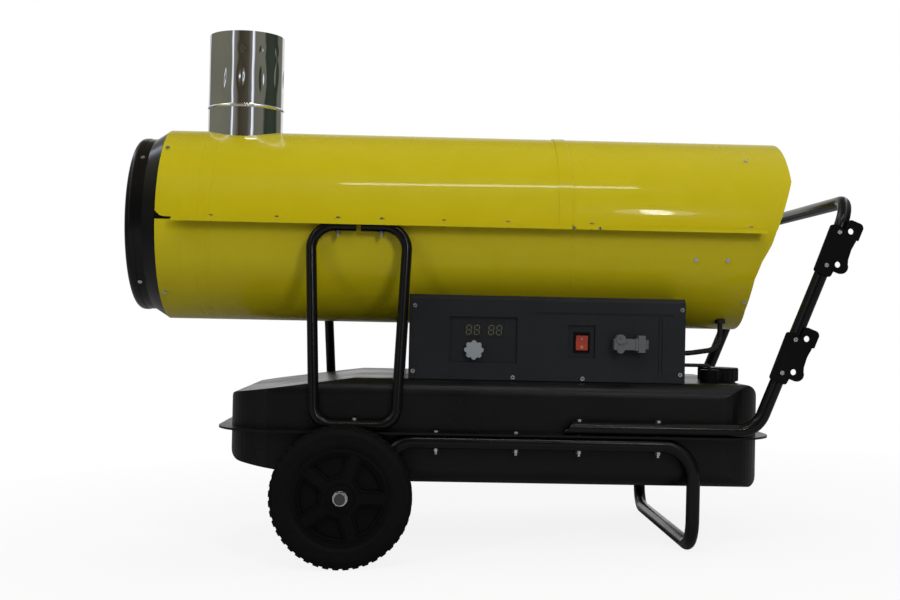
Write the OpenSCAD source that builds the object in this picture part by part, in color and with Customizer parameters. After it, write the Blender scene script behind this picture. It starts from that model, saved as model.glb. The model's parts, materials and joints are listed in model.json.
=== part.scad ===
// Indirect oil-fired space heater on two wheels and a foot bar.
// Millimetres, +Z up. The casing's own frame has X along its axis from the outlet to the rear,
// Z = 0 on that axis, and the control side on -Y. stand() then tilts and lifts the whole heater
// so that the wheels and the foot bar both rest on the floor.

/* [Casing] */
// Outer radius of the casing
casing_r = 189; // [150:1:230]
// Thickness of the casing sheet
sheet = 1.2; // [0.8:0.1:2]
// Length of the upper casing to its rear edge
upper_len = 1212; // [900:1:1400]
// Length of the lower casing at the seam
lower_len = 1178; // [850:1:1350]
// Length of the lower casing at the underside
lower_belly_len = 1141; // [800:1:1300]
// Position of the lap between the two upper shells
lap_x = 762; // [500:1:900]
// Width of the lap band
lap_w = 22; // [15:1:40]
// Reach of the side flanges past the casing
flange_w = 29; // [20:1:45]
// Start of the side flanges
flange_x1 = 36; // [20:1:80]
// End of the side flanges
flange_x2 = 1152; // [850:1:1300]
// Drop of the turned-down edge below the casing axis
lip_drop = 6.8; // [6.8:0.1:15]
// Distance of the flange screws from the casing
flange_screw_gap = 16.5; // [12:0.5:22]
// Gap between parts that lie one inside the other
fit = 0.3; // [0.2:0.1:0.6]

/* [Outlet] */
// Step from the casing in to the outlet collar
outlet_step = 17; // [10:1:40]
// Length of the outlet ring in front of the casing
outlet_len = 62; // [50:1:100]
// Rounding of the ring's front edge
lip_r = 12; // [4:1:18]
// Wall of the outlet ring
outlet_wall = 2; // [1.5:0.1:3]
// Length of the plain seat for a duct behind the rounded edge
duct_seat = 7; // [4:0.5:9]

/* [Flue and chamber] */
// Outer radius of the flue spigot
flue_r = 75; // [50:0.5:100]
// Top of the flue spigot above the casing axis
flue_top = 382; // [250:1:450]
// Position of the flue along the casing
flue_x = 141; // [110:1:200]
// Height of the rolled bead on the spigot
flue_bead_z = 235; // [205:1:300]
// Wall of the flue spigot
flue_wall = 1; // [0.8:0.1:2]
// Gap between the casing and the heat exchanger
exchanger_gap = 39; // [24:1:50]
// Radial depth of the heat exchanger
exchanger_depth = 25; // [15:1:32]
// Gap between the heat exchanger and the combustion chamber
chamber_gap = 23; // [12:1:32]
// Wall of the chamber and the exchanger
chamber_wall = 2; // [1.5:0.1:3]
// Front of the heat exchanger
exchanger_x1 = 60; // [40:1:62]
// Rear of the heat exchanger and the chamber
exchanger_x2 = 800; // [600:1:850]
// Outer radius of the blast tube
blast_r = 46; // [35:1:60]
// Rear end of the blast tube
blast_x2 = 880; // [840:1:890]

/* [Fan and pump] */
// Gap between the casing and the fan tips
fan_gap = 15; // [8:1:60]
// Middle of the fan along the casing
fan_x = 945; // [935:1:946]
// Number of fan blades
fan_blades = 6; // [3:1:8]
// Pitch of the fan blades from the plane of rotation
fan_pitch = 30; // [15:1:40]
// Chord of the fan blades
fan_chord = 72; // [40:1:80]
// Radius of the motor
motor_r = 60; // [45:1:62]
// Front of the motor
motor_x1 = 976; // [972:1:980]
// Rear of the motor
motor_x2 = 1064; // [1055:1:1066]
// Radius of the motor shaft
shaft_r = 7; // [5:0.5:10]
// Running clearance around turning shafts
run_fit = 0.05; // [0.02:0.01:0.09]
// Front of the rear grille
grille_x = 1131; // [1128:1:1134]

/* [Tank] */
// Height of the tank's parting plane, measured from the casing axis
part_z = -388.5; // [-420:0.5:-350]
// Half width of the tank
tank_half = 247; // [220:1:280]
// Front wall of the tank
tank_x1 = 151; // [120:1:200]
// Rear wall of the tank
tank_x2 = 1147; // [1120:1:1200]
// Top of the tank
tank_top = -291; // [-300:1:-280]
// Bottom of the tank
tank_bottom = -482.5; // [-486:0.5:-450]
// Height of the sloping top at the front wall
nose_z = -323.5; // [-345:0.5:-300]
// Place where the sloping top reaches full height
nose_x = 385; // [300:1:440]
// Height of the sloping bottom at the front wall
belly_z = -446; // [-470:0.5:-420]
// Place where the sloping bottom reaches full depth
belly_x = 365; // [300:1:440]
// Rounding of the tank's corners, seen from above
tank_corner = 85; // [30:1:110]
// Rounding of the tank's long edges
tank_edge = 30; // [15:1:40]
// Wall of the tank
tank_wall = 2; // [1.5:0.5:5]
// Thickness of each half of the flange
rim_t = 2; // [1.5:0.5:5]
// Reach of the flange at the sides
rim_side = 34; // [30:0.5:36]
// Rounding of the flange's corners, seen from above
rim_corner = 115; // [40:1:130]
// Reach of the flange at the front
rim_front = 24; // [10:1:40]
// Reach of the flange at the rear
rim_rear = 20; // [10:1:30]

/* [Filler] */
// Position of the filler along the tank
filler_x = 1092; // [1060:1:1095]
// Position of the filler across the tank
filler_y = -95; // [-120:1:-60]
// Outer radius of the filler neck
neck_r = 34; // [30:0.5:36]
// Top of the filler neck
neck_top = -273; // [-280:1:-270]
// Radius of the cap over its skirt
cap_r = 38; // [37:0.5:42]
// Lift of the cap for one turn
cap_pitch = 5; // [3:0.5:5.5]

/* [Frame] */
// Radius of the foot and handle tubes
tube_r = 12.5; // [10:0.5:14]
// Radius of the hoop tubes
hoop_r = 10; // [8:0.5:10]
// Wall of every tube
tube_wall = 2; // [1.5:0.1:3]
// Distance of the frame tubes from the tank's sides
frame_gap = 21; // [18:0.5:24]
// Position of the axle along the casing
axle_x = 366; // [330:1:400]
// Height of the axle, measured from the casing axis
axle_z = -501; // [-520:1:-500]
// Position of the floor bar along the casing
foot_x = 1007; // [950:1:1060]
// Height of the floor bar, measured from the casing axis
foot_z = -588; // [-620:1:-560]
// Front end of the handle tubes
handle_x1 = 767; // [740:1:785]
// Foot of the sloping handle leg
handle_knee_x = 1122; // [1110:1:1135]
// Position of the handle's cross bar
handle_top_x = 1291.5; // [1270:0.5:1320]
// Height of the handle's cross bar above the casing axis
handle_top_z = 55; // [20:1:120]

/* [Wheels] */
// Radius over the tread
wheel_r = 128; // [110:1:140]
// Gap between the frame tubes and the tyres
wheel_gap = 5; // [4:0.5:12]
// Width of the tyres
tyre_w = 40.5; // [36:0.5:60]
// Height of the tread blocks
tread_h = 2.6; // [1:0.1:6]
// Seat radius of the tyre on the rim
rim_r = 88; // [75:0.5:95]
// Radius of the axle
axle_r = 10; // [8:0.5:12]
// Number of tread blocks around one row
tread_blocks = 44; // [30:1:60]
// Number of wheel spokes
spokes = 5; // [4:1:8]

/* [Console] */
// Left end of the console
console_x1 = 482; // [482:1:490]
// Right end of the console
console_x2 = 998; // [980:1:999]
// Top of the console
console_top = -134; // [-145:1:-130]
// Bevel along the panel's top edge
console_bevel = 8; // [3:1:12]
// Reach of the console past the side flanges
console_lip = 4; // [2:0.5:8]
// Thickness of the console sheet
console_wall = 2; // [1.5:0.1:3]
// Thickness of the control panel
panel_t = 3; // [2:0.5:4]
// Position of the knob along the panel
knob_x = 602.6; // [595:0.1:610]
// Height of the knob
knob_z = -235.7; // [-240:0.1:-230]
// Radius of the knob over its lobes
knob_r = 18; // [12:0.5:19]
// Angle of the rocker at rest
rocker_tilt = 7; // [4:0.5:9]

/* [Hidden] */
$fn = 64;

// Standing tilt from the wheels and the floor bar touching one floor
stand_dx = foot_x - axle_x;
stand_dz = foot_z - axle_z;
stand_tilt = asin((wheel_r - tube_r) / norm([stand_dx, stand_dz])) + atan2(stand_dz, stand_dx);
stand_lift = axle_x * sin(stand_tilt) - axle_z * cos(stand_tilt) + wheel_r;
casing_in = casing_r - sheet;
outlet_r = casing_r - outlet_step;
flange_y = casing_r + flange_w;
flange_screw_y = casing_r + flange_screw_gap;
console_half = flange_y + console_lip;
exchanger_r = casing_r - exchanger_gap;
exchanger_core_r = exchanger_r - exchanger_depth;
chamber_r = exchanger_core_r - chamber_gap;
fan_r = casing_r - fan_gap;
frame_y = tank_half + frame_gap;
rim_half = tank_half + rim_side;
tyre_y1 = frame_y + tube_r + wheel_gap;
tyre_y2 = tyre_y1 + tyre_w;
front_reach = (outlet_len - lip_r) * cos(stand_tilt) + (outlet_r - lip_r) * sin(stand_tilt) + lip_r;
handle_run_z = part_z + rim_t + tube_r;
handle_lean = atan2(handle_top_x - handle_knee_x, handle_top_z - handle_run_z);
leg_zero = -handle_run_z / cos(handle_lean);
ear_r = 9;
ear_tip = [27, 13];
ear_x = handle_knee_x + ear_tip[0] * cos(handle_lean) + (leg_zero + ear_tip[1]) * sin(handle_lean);
ear_z = handle_run_z - ear_tip[0] * sin(handle_lean) + (leg_zero + ear_tip[1]) * cos(handle_lean);
rear_reach = max(ear_x * cos(stand_tilt) + ear_z * sin(stand_tilt) + ear_r,
  handle_top_x * cos(stand_tilt) + handle_top_z * sin(stand_tilt) + tube_r);
stand_shift = (rear_reach - front_reach) / 2;

seam_z = 2.2;
notch_z = -2.5;
rim_under = part_z - rim_t;
rim_over = part_z + rim_t;
foot_run_z = rim_under - tube_r;
hoop_bar_z = seam_z - sheet - hoop_r;
hoop_low_z = rim_over + hoop_r;
saddle_fit = 0.3;
screw_r = 2.5;
bolt_r = 3;
bolt_hole = bolt_r + 0.3;
screw_hole = screw_r + 0.2;
sleeve_r = 14;
sleeve_half = frame_y + tube_r;
hub_y1 = sleeve_half + 2;
hub_y2 = tyre_y2 - 0.5;
washer_t = 2;
nut_t = 10;
rivet_x = [787, 835];
flange_screws = [108, 230.5, 542.4, 663, 821, 1123];
hoop_top_bolts = [345, 426.5];
rim_bolts = [534.8, 680.6];
handle_bolts = [796.3, 941.8];
hoop_low_bolt = 386;
band_r = outlet_r - 1.2;
ring_in = band_r - outlet_wall;
lip_turn = 2;
seat_x1 = lip_r - outlet_len;
seat_x2 = seat_x1 + duct_seat;
ring_screw_x = seat_x2 + 5;
flare_x = ring_screw_x + 10;
ring_x2 = 24;
ring_screw_a = 44;
collar_screw_x = 10.5;
collar_screw_a = 47;
grille_screw_x = grille_x + 0.5;
tray_screw_x = [1025, 1085.5];
tray_z = -motor_r - 5;
tray_screw_a = 2.85 - asin(-tray_z / casing_in);
tray_span = 14;
hose_y = 60;
hose_x = 1022;
pump_x1 = motor_x2 + 10;
pump_x2 = pump_x1 + 48;
pump_half = 26;
riser_x = pump_x1 + 24;
hose_r = 6;
hose_run_z = tray_z - 47;
tray_x2 = riser_x - hose_r - 2;
filter_z = tank_top + 13;
line_z = -casing_in + 4;
line_x = blast_x2 + 24;
blast_x1 = exchanger_x2 - 30;
disc_x = blast_x1 + 8;
nozzle_x = disc_x + 11.5;
chamber_x1 = exchanger_x1 + 40;
saddle_x = [220, 640];
flue_seat_z = exchanger_r + 10;
panel_y = -console_half - panel_t;
tub_x = [557, 683];
tub_z = [-259, -174];
switch_x = [778, 829];
switch_z = [-247, -186];
tub_d = 6;
tub_t = 2;
display_z = -198.5;
display_x = [600.6, 642.2];
display_size = [31.5, 24.5];
rocker_at = [804.3, -218.2];
rocker_y = panel_y + tub_d + tub_t;
rocker_pin_r = 1.5;
groove_z = [-167.5, -163.5];
transformer_at = [925, 100];
transformer_half = [45, 40];
transformer_h = 62;
socket_x = 906;
socket_z = -219;
plug_len = 45;
panel_screws = [[492, -155], [490, -277], [991, -154], [989, -275], [676, -285.5], [806, -285.5]];
hook_screws = [[-7.4, -2.5], [-72.7, -2]];
lower_hook_drop = 213;
ear_at = [16.7, 2];
low_ear_at = [17.3, -63.5];
ear_hole_r = 5.5;
hook_t = 5;
port_x = 720;
port_r = 35;
blast_port_r = 6;
drain_x = 900;
drain_r = 8;
sender_at = [1062, -150];
sender_top = tank_top + 24;
lead_r = 5;
thin_lead_r = 3.5;
lead_at = [1098.5, -78];
lead_y = -54;
lead_z = -20;
hoop_top_x = [294.4, 476.5];
hoop_foot_x = [312.2, 460.5];
hoop_gap_x = [379, 388];
foot_knee_x = axle_x + 109;
spoke_half = 9;
pocket_turn = 35;
pocket_steps = [5, 14];
bevel_z = console_top - console_bevel - 1.3;
bevel_y = console_bevel + 1.3 - console_half;
small_r = 1.6;
fine = 0.05;

// Places the casing's frame on the floor
module stand() {
  translate([-stand_shift, 0, stand_lift]) rotate([0, stand_tilt, 0]) children();
}

// Unit vector along v
function unit(v) = v / norm(v);

// Arc points that round the corner between two edges of a convex outline, listed anticlockwise
function corner(p, u, v, r, n) =
  let (turn = acos(min(1, u * v)), t = r * tan(turn / 2),
       a = p - u * t, c = a + r * [-u[1], u[0]], start = atan2(-u[0], u[1]) + 180)
  [for (k = [0:n]) c - r * [cos(start + turn * k / n), sin(start + turn * k / n)]];

// A convex outline with each corner rounded by its own radius
function rounded(p, r, n = 8) =
  let (m = len(p))
  [for (i = [0:m - 1])
    let (u = unit(p[i] - p[(i + m - 1) % m]), v = unit(p[(i + 1) % m] - p[i]))
    for (q = r[i] > 0 ? corner(p[i], u, v, r[i], n) : [p[i]]) q];

// The same convex outline moved inwards by d
function inset(p, d) =
  let (m = len(p))
  [for (i = [0:m - 1])
    let (u = unit(p[i] - p[(i + m - 1) % m]), v = unit(p[(i + 1) % m] - p[i]),
         nu = [-u[1], u[0]], nv = [-v[1], v[0]])
    p[i] + (nu + nv) * d / (1 + nu * nv)];

// Outline shrunk by d with its rounding shrunk too
function shell_line(p, r, d, n = 8) = rounded(inset(p, d), [for (q = r) q > 0 ? max(q - d, 1) : 0], n);

// Rod along X
module rod_x(x1, x2, r) {
  translate([x1, 0, 0]) rotate([0, 90, 0]) cylinder(r = r, h = x2 - x1);
}

// Tube along X
module tube_x(x1, x2, ro, ri) {
  difference() {
    rod_x(x1, x2, ro);
    rod_x(x1 - 1, x2 + 1, ri);
  }
}

// Rod along Y
module rod_y(y1, y2, r) {
  translate([0, y1, 0]) rotate([-90, 0, 0]) cylinder(r = r, h = y2 - y1);
}

// Tube along Y
module tube_y(y1, y2, ro, ri) {
  difference() {
    rod_y(y1, y2, ro);
    rod_y(y1 - 1, y2 + 1, ri);
  }
}

// Box between two corners
module block(a, b) {
  translate(a) cube(b - a);
}

// Both sides of the centre plane
module both_sides() {
  children();
  mirror([0, 1, 0]) children();
}

// Turns a radial feature drawn along -Y up by an angle around the casing
module around(x, a) {
  translate([x, 0, 0]) rotate([-a, 0, 0]) children();
}

// Curved plate around the casing axis, its middle at angle a above the control side
module arc_plate(x1, x2, ri, ro, a, span) {
  around(x1, a) rotate([0, 90, 0]) rotate([0, 0, -90 - span / 2])
    rotate_extrude(angle = span) translate([ri, 0]) square([ro - ri, x2 - x1]);
}

// Straight round bar between two points
module bar(a, b, r) {
  d = b - a;
  translate(a) rotate([0, acos(d[2] / norm(d)), atan2(d[1], d[0])]) cylinder(r = r, h = norm(d));
}

// Bent rod or tube through points, rounded at each inner point by radius rb
module bent(p, ro, ri, rb) {
  n = len(p);
  function turn(i) = acos(unit(p[i] - p[i - 1]) * unit(p[i + 1] - p[i]));
  function reach(i) = i == 0 || i == n - 1 ? 0 : rb[i - 1] * tan(turn(i) / 2);
  for (i = [0:n - 2]) {
    u = unit(p[i + 1] - p[i]);
    a = p[i] + u * (reach(i) - (i == 0 ? 0 : 0.4));
    b = p[i + 1] - u * (reach(i + 1) - (i == n - 2 ? 0 : 0.4));
    difference() {
      bar(a, b, ro);
      if (ri > 0) bar(a - u, b + u, ri);
    }
  }
  for (i = [1:n - 2]) {
    u = unit(p[i] - p[i - 1]);
    v = unit(p[i + 1] - p[i]);
    e1 = -unit(v - u);
    c = p[i] - e1 * rb[i - 1] / cos(turn(i) / 2);
    s = unit(p[i] - u * reach(i) - c);
    w = cross(s, u);
    multmatrix([[s[0], u[0], w[0], c[0]], [s[1], u[1], w[1], c[1]], [s[2], u[2], w[2], c[2]], [0, 0, 0, 1]])
      rotate_extrude(angle = turn(i)) translate([rb[i - 1], 0]) difference() {
        circle(r = ro - fine);
        if (ri > 0) circle(r = ri + fine);
      }
  }
}

// Screw along -Y at the casing surface: head outside, shank inwards
module radial_screw(r, depth) {
  translate([0, -r, 0]) {
    rod_y(-2.4, 0, 4.2);
    rod_y(0, depth, screw_r);
  }
}

// All radial casing positions: [x, angle, surface radius, depth]
radial_at = concat(
  [for (a = [ring_screw_a, -ring_screw_a]) [ring_screw_x, a, band_r, 8]],
  [for (a = [collar_screw_a, -collar_screw_a]) [collar_screw_x, a, casing_r, 8]],
  [for (x = tray_screw_x) [x, tray_screw_a, casing_r, 8]],
  [[grille_screw_x, 48, casing_r, 8], [grille_screw_x, -45.5, casing_r, 8]]);

// Clearance holes for the radial screws
module radial_holes() {
  both_sides() for (q = radial_at) around(q[0], q[1]) rod_y(-q[2] - 3, -q[2] + 12, screw_hole);
}

module outlet_ring() {
  seam_in = casing_in - fit;
  color([0.06, 0.06, 0.065]) stand() difference() {
    rotate([0, 90, 0]) rotate_extrude() {
      translate([outlet_r - lip_r, seat_x1]) intersection() {
        difference() {
          circle(r = lip_r);
          circle(r = lip_r - outlet_wall);
        }
        translate([0, -lip_r - 1]) square([lip_r + 1, lip_r + 1 + fine]);
      }
      translate([outlet_r - lip_r - lip_turn, -outlet_len]) square([lip_turn + fine, outlet_wall]);
      polygon([[ring_in, seat_x1], [outlet_r, seat_x1], [outlet_r, seat_x2], [band_r, seat_x2],
        [band_r, flare_x], [casing_r - 0.6, -0.5], [seam_in, -0.5], [seam_in, ring_x2],
        [seam_in - outlet_wall, ring_x2], [seam_in - outlet_wall, -1.3], [ring_in, flare_x + 0.6]]);
    }
    radial_holes();
  }
}

// Side view of the lower casing
module lower_side() {
  under = -casing_r - 10;
  polygon([[0, under], [0, notch_z], [flange_x1 - 8, notch_z], [flange_x1, seam_z], [lower_len, seam_z],
    [lower_len - 9, -26], [lower_belly_len + 12, -58], [lower_belly_len + 2, -92],
    [lower_belly_len, -117], [lower_belly_len - 2, -150], [lower_belly_len + 4, under]]);
}

module lower_shell() {
  color([0.72, 0.67, 0.1]) stand() difference() {
    union() {
      intersection() {
        tube_x(0, lower_len + 2, casing_r, casing_in);
        rotate([90, 0, 0]) linear_extrude(height = 2 * casing_r + 10, center = true) lower_side();
      }
      both_sides() block([flange_x1 + 1, -flange_y + sheet + fit, seam_z - sheet],
        [flange_x2, -casing_in - 0.4, seam_z]);
    }
    radial_holes();
    flange_holes();
    for (q = shell_holes) translate([q[0], q[1], -casing_r - 10]) cylinder(r = q[2] + fit, h = 80);
  }
}

// Places where a lead or hose passes the lower casing: [x, y, radius of the bushing, of the lead]
shell_holes = [[hose_x, hose_y, 10, hose_r], [lead_at[0], lead_at[1], 10, lead_r]];

// Clearance holes for the screws and bolts down the side flanges
module flange_holes() {
  both_sides() {
    for (x = flange_screws) translate([x, -flange_screw_y, -12]) cylinder(r = screw_hole, h = 30);
    for (x = hoop_top_bolts) translate([x, -flange_screw_y, -40]) cylinder(r = bolt_hole, h = 60);
  }
}

// Side flange of an upper shell from x1 to x2
module upper_flange(x1, x2) {
  both_sides() {
    block([x1, -flange_y, seam_z], [x2, -casing_in - 0.4, seam_z + sheet]);
    block([x1, -flange_y, -lip_drop], [x2, -flange_y + sheet, seam_z + sheet]);
  }
}

module upper_front_shell() {
  color([0.75, 0.7, 0.1]) stand() difference() {
    union() {
      intersection() {
        tube_x(0, lap_x + lap_w - 1, casing_r, casing_in);
        rotate([90, 0, 0]) linear_extrude(height = 2 * casing_r + 10, center = true)
          polygon([[0, casing_r + 10], [0, 13.5], [9, 4.5], [16, seam_z + 0.3], [flange_x1, seam_z],
            [lap_x + lap_w, seam_z], [lap_x + lap_w, casing_r + 10]]);
      }
      upper_flange(flange_x1, lap_x + lap_w - 1);
    }
    radial_holes();
    flange_holes();
    rivet_holes();
    translate([flue_x, 0, casing_r / 2]) cylinder(r = flue_r + 1, h = casing_r);
  }
}

// Side view of the rear upper shell
module hood_side() {
  polygon([[lap_x, seam_z], [lower_len + 1, seam_z], [upper_len, 98], [upper_len, casing_r + 20],
    [lap_x, casing_r + 20]]);
}

module upper_rear_shell() {
  lap_in = casing_r + fit;
  color([0.75, 0.7, 0.1]) stand() difference() {
    union() {
      intersection() {
        union() {
          tube_x(lap_x, lap_x + lap_w + sheet, lap_in + sheet, lap_in);
          tube_x(lap_x + lap_w, lap_x + lap_w + sheet, lap_in + sheet / 2, casing_in);
          tube_x(lap_x + lap_w + sheet / 2, upper_len, casing_r, casing_in);
        }
        rotate([90, 0, 0]) linear_extrude(height = 2 * casing_r + 10, center = true) hood_side();
      }
      upper_flange(lap_x + lap_w + sheet / 2, flange_x2);
    }
    both_sides() block([lap_x - 1, -casing_r - 4, seam_z - 1],
      [lap_x + lap_w - 0.5, -casing_r + 1, seam_z + sheet + fit]);
    radial_holes();
    flange_holes();
    rivet_holes();
  }
}

// Holes of the two small rivets through the turned-down edge
module rivet_holes() {
  both_sides() for (x = rivet_x) translate([x, 0, -4]) rod_y(-flange_y - 3, -flange_y + 4, small_r + 0.1);
}

module casing_screws() {
  color([0.75, 0.76, 0.78]) stand() {
    both_sides() {
      for (q = radial_at) around(q[0], q[1]) radial_screw(q[2], q[3]);
      for (x = flange_screws) translate([x, -flange_screw_y, seam_z + sheet]) {
        cylinder(r = 4.6, h = 3.4, $fn = 6);
        translate([0, 0, -11]) cylinder(r = screw_r, h = 11.5);
      }
      for (x = rivet_x) translate([x, 0, -4]) {
        rod_y(-flange_y - 1.2, -flange_y, 2.8);
        rod_y(-flange_y - 0.1, -flange_y + 3, small_r);
      }
    }
  }
}

module rear_grille() {
  band = casing_in - fit;
  color([0.08, 0.08, 0.085]) stand() difference() {
    union() {
      tube_x(grille_x - 7, grille_x + 7, band, band - 2);
      for (r = [24:26:band - 6]) tube_x(grille_x, grille_x + 3, r + 1.5, r - 1.5);
      for (a = [0:45:135]) rotate([a, 0, 0])
        block([grille_x - 2.5, -band + 1, -2], [grille_x + 1, band - 1, 2]);
    }
    radial_holes();
  }
}

module flue_spigot() {
  color([0.82, 0.82, 0.82]) stand() translate([flue_x, 0, 0]) difference() {
    union() {
      translate([0, 0, flue_seat_z]) cylinder(r = flue_r, h = flue_top - flue_seat_z);
      translate([0, 0, flue_bead_z]) rotate_extrude() translate([flue_r - 1.2, 0]) circle(r = 3, $fn = 24);
    }
    translate([0, 0, flue_seat_z - 10]) cylinder(r = flue_r - flue_wall, h = flue_top - flue_seat_z + 20);
  }
}

module heat_exchanger() {
  socket_r = flue_r - flue_wall - fit;
  socket_z1 = sqrt(exchanger_r * exchanger_r - flue_r * flue_r) - 4;
  bore_z = exchanger_core_r + chamber_wall + 2;
  color([0.45, 0.44, 0.42]) stand() difference() {
    union() {
      tube_x(exchanger_x1, exchanger_x2, exchanger_r, exchanger_r - chamber_wall);
      tube_x(exchanger_x1, exchanger_x2, exchanger_core_r + chamber_wall, exchanger_core_r);
      tube_x(exchanger_x1, exchanger_x1 + chamber_wall, exchanger_r - 1, exchanger_core_r + 1);
      tube_x(exchanger_x2 - chamber_wall, exchanger_x2, exchanger_r - 1, exchanger_core_r + 1);
      difference() {
        translate([flue_x, 0, socket_z1]) cylinder(r = socket_r, h = flue_seat_z + 27 - socket_z1);
        rod_x(exchanger_x1 - 1, exchanger_x1 + 200, exchanger_r - 1);
      }
      translate([flue_x, 0, flue_seat_z - 4]) cylinder(r = flue_r + 3, h = 4);
    }
    translate([flue_x, 0, bore_z]) cylinder(r = socket_r - chamber_wall, h = flue_seat_z);
    translate([port_x, 0, -exchanger_core_r - 8]) cylinder(r = port_r + fit, h = 30);
  }
}

module combustion_chamber() {
  color([0.5, 0.48, 0.45]) stand() difference() {
    union() {
      tube_x(chamber_x1, exchanger_x2, chamber_r, chamber_r - chamber_wall);
      rod_x(chamber_x1, chamber_x1 + chamber_wall, chamber_r - 1);
      tube_x(exchanger_x2 - 2, exchanger_x2, exchanger_core_r - 6, chamber_r - 1);
      difference() {
        translate([port_x, 0, -exchanger_core_r - chamber_wall])
          cylinder(r = port_r, h = chamber_gap + chamber_wall + 15);
        rod_x(port_x - port_r - 5, port_x + port_r + 5, chamber_r - 1);
      }
    }
    translate([port_x, 0, -exchanger_core_r - 10]) cylinder(r = port_r - chamber_wall, h = 80);
  }
}

module front_stays() {
  ro = ring_in - fit;
  bend_x = exchanger_x1 + 15;
  color([0.5, 0.5, 0.5]) stand() difference() {
    both_sides() for (a = [ring_screw_a, -ring_screw_a]) {
      arc_plate(ring_screw_x - 12, bend_x + 1, ro - 2, ro, a, 8);
      arc_plate(bend_x - 1, bend_x + 1, exchanger_r + saddle_fit, ro, a, 8);
      arc_plate(bend_x, bend_x + 21, exchanger_r + saddle_fit, exchanger_r + 2.3, a, 8);
    }
    radial_holes();
  }
}

module exchanger_saddles() {
  color([0.5, 0.5, 0.5]) stand() for (x = saddle_x) {
    arc_plate(x, x + 2, exchanger_r + 0.2, casing_in - 0.2, -90, 70);
    arc_plate(x + 1, x + 26, casing_in - 2.2, casing_in - 0.2, -90, 70);
    arc_plate(x + 1, x + 26, exchanger_r + 0.2, exchanger_r + 2.2, -90, 70);
  }
}

module blast_tube() {
  color([0.42, 0.42, 0.42]) stand() difference() {
    union() {
      tube_x(blast_x1, blast_x2, blast_r, blast_r - 2);
      tube_x(exchanger_x2, exchanger_x2 + 2.5, exchanger_r - 2, blast_r - 1);
      rod_x(blast_x2 - 2, blast_x2, blast_r - 1);
    }
    rod_x(blast_x2 - 5, blast_x2 + 5, 6 + fit);
    for (s = [-1, 1]) translate([0, 14 * s, 18]) rod_x(blast_x2 - 5, blast_x2 + 5, 4 + fit);
    for (a = [30:60:330]) rotate([a, 0, 0]) translate([0, 0, blast_r - 16])
      rod_x(blast_x2 - 5, blast_x2 + 5, blast_port_r);
  }
}

module flame_disc() {
  color([0.4, 0.38, 0.36]) stand() difference() {
    union() {
      tube_x(disc_x, disc_x + 2, blast_r - 2 - fit, 9);
      tube_x(disc_x + 1, disc_x + 14, 10.5, 9);
    }
    for (a = [0:45:315]) rotate([a, 0, 0]) block([disc_x - 2, -1.5, 16], [disc_x + 4, 1.5, blast_r - 8]);
  }
}

module nozzle_rod() {
  color([0.72, 0.6, 0.3]) stand() {
    rod_x(nozzle_x - 7.5, nozzle_x + 0.5, 5);
    rod_x(nozzle_x, nozzle_x + 22.5, 8.8);
    rod_x(nozzle_x + 21.5, line_x - 8, 6);
    rod_x(blast_x2 + 0.2, blast_x2 + 8, 10);
  }
}

module electrodes() {
  color([0.9, 0.89, 0.85]) stand() {
    for (s = [-1, 1]) translate([0, 14 * s, 18]) {
      rod_x(disc_x + 26, blast_x2 + 6, 4);
      rod_x(disc_x + 6, disc_x + 27, 1.2);
    }
    difference() {
      block([blast_x2 - 40, -22, -8], [blast_x2 - 30, 22, 24]);
      rod_x(blast_x2 - 50, blast_x2 - 20, 6 + 0.1);
    }
  }
}

module nozzle_line() {
  color([0.72, 0.45, 0.2]) stand() {
    bent([[riser_x, 0, -pump_half - 0.2], [riser_x, 0, line_z], [line_x, 0, line_z],
      [line_x, 0, -6.2]], 2.6, 0, [16, 16]);
    translate([line_x, 0, 0]) block([-7.8, -7, -7], [6.2, 7, 7]);
  }
}

module fan() {
  color([0.55, 0.56, 0.58]) stand() translate([fan_x, 0, 0]) difference() {
    union() {
      rod_x(-15, 15, 34);
      for (k = [0:fan_blades - 1]) rotate([k * 360 / fan_blades, 0, 0]) intersection() {
        rotate([0, 0, fan_pitch]) translate([-1.25, -fan_chord / 2, 30]) cube([2.5, fan_chord, fan_r]);
        rod_x(-100, 100, fan_r);
      }
    }
    rod_x(-20, 20, shaft_r);
  }
}

module motor_shaft() {
  color([0.7, 0.7, 0.72]) stand() {
    rod_x(fan_x - 20, pump_x1 + 20, shaft_r - run_fit);
    rod_x(fan_x - 22, fan_x - 15 - 0.2, 12);
  }
}

module fan_motor() {
  color([0.3, 0.31, 0.33]) stand() difference() {
    union() {
      rod_x(motor_x1 + 6, motor_x2 - 6, motor_r);
      rod_x(motor_x1, motor_x2, motor_r - 8);
      block([motor_x1 + 14, -40, tray_z + 2.2], [motor_x2 - 14, 40, -30]);
      block([motor_x1 + 20, -28, 40], [motor_x2 - 24, 28, motor_r + 18]);
    }
    rod_x(motor_x1 - 5, motor_x2 + 5, shaft_r);
  }
}

module motor_tray() {
  ro = casing_in - fit;
  edge = sqrt(pow(ro - 1, 2) - pow(tray_z, 2));
  color([0.5, 0.5, 0.5]) stand() difference() {
    union() {
      block([motor_x1 + 2, -edge, tray_z], [tray_x2, edge, tray_z + 2]);
      both_sides() arc_plate(motor_x1 + 2, tray_x2, ro - 2, ro, tray_screw_a, tray_span);
    }
    radial_holes();
  }
}

module fuel_pump() {
  color([0.62, 0.63, 0.65]) stand() difference() {
    union() {
      rod_x(motor_x2, pump_x1 + 2, 30);
      block([pump_x1, -pump_half, -pump_half], [pump_x2, pump_half, pump_half]);
      rod_x(pump_x2 - 1, pump_x2 + 4, 15);
      translate([riser_x, 0, 12]) rod_y(pump_half - 1, pump_half + 10, 9);
    }
    rod_x(motor_x2 - 2, riser_x, shaft_r);
    rod_x(motor_x2 - 2, pump_x1 - 2, 22);
  }
}

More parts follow.
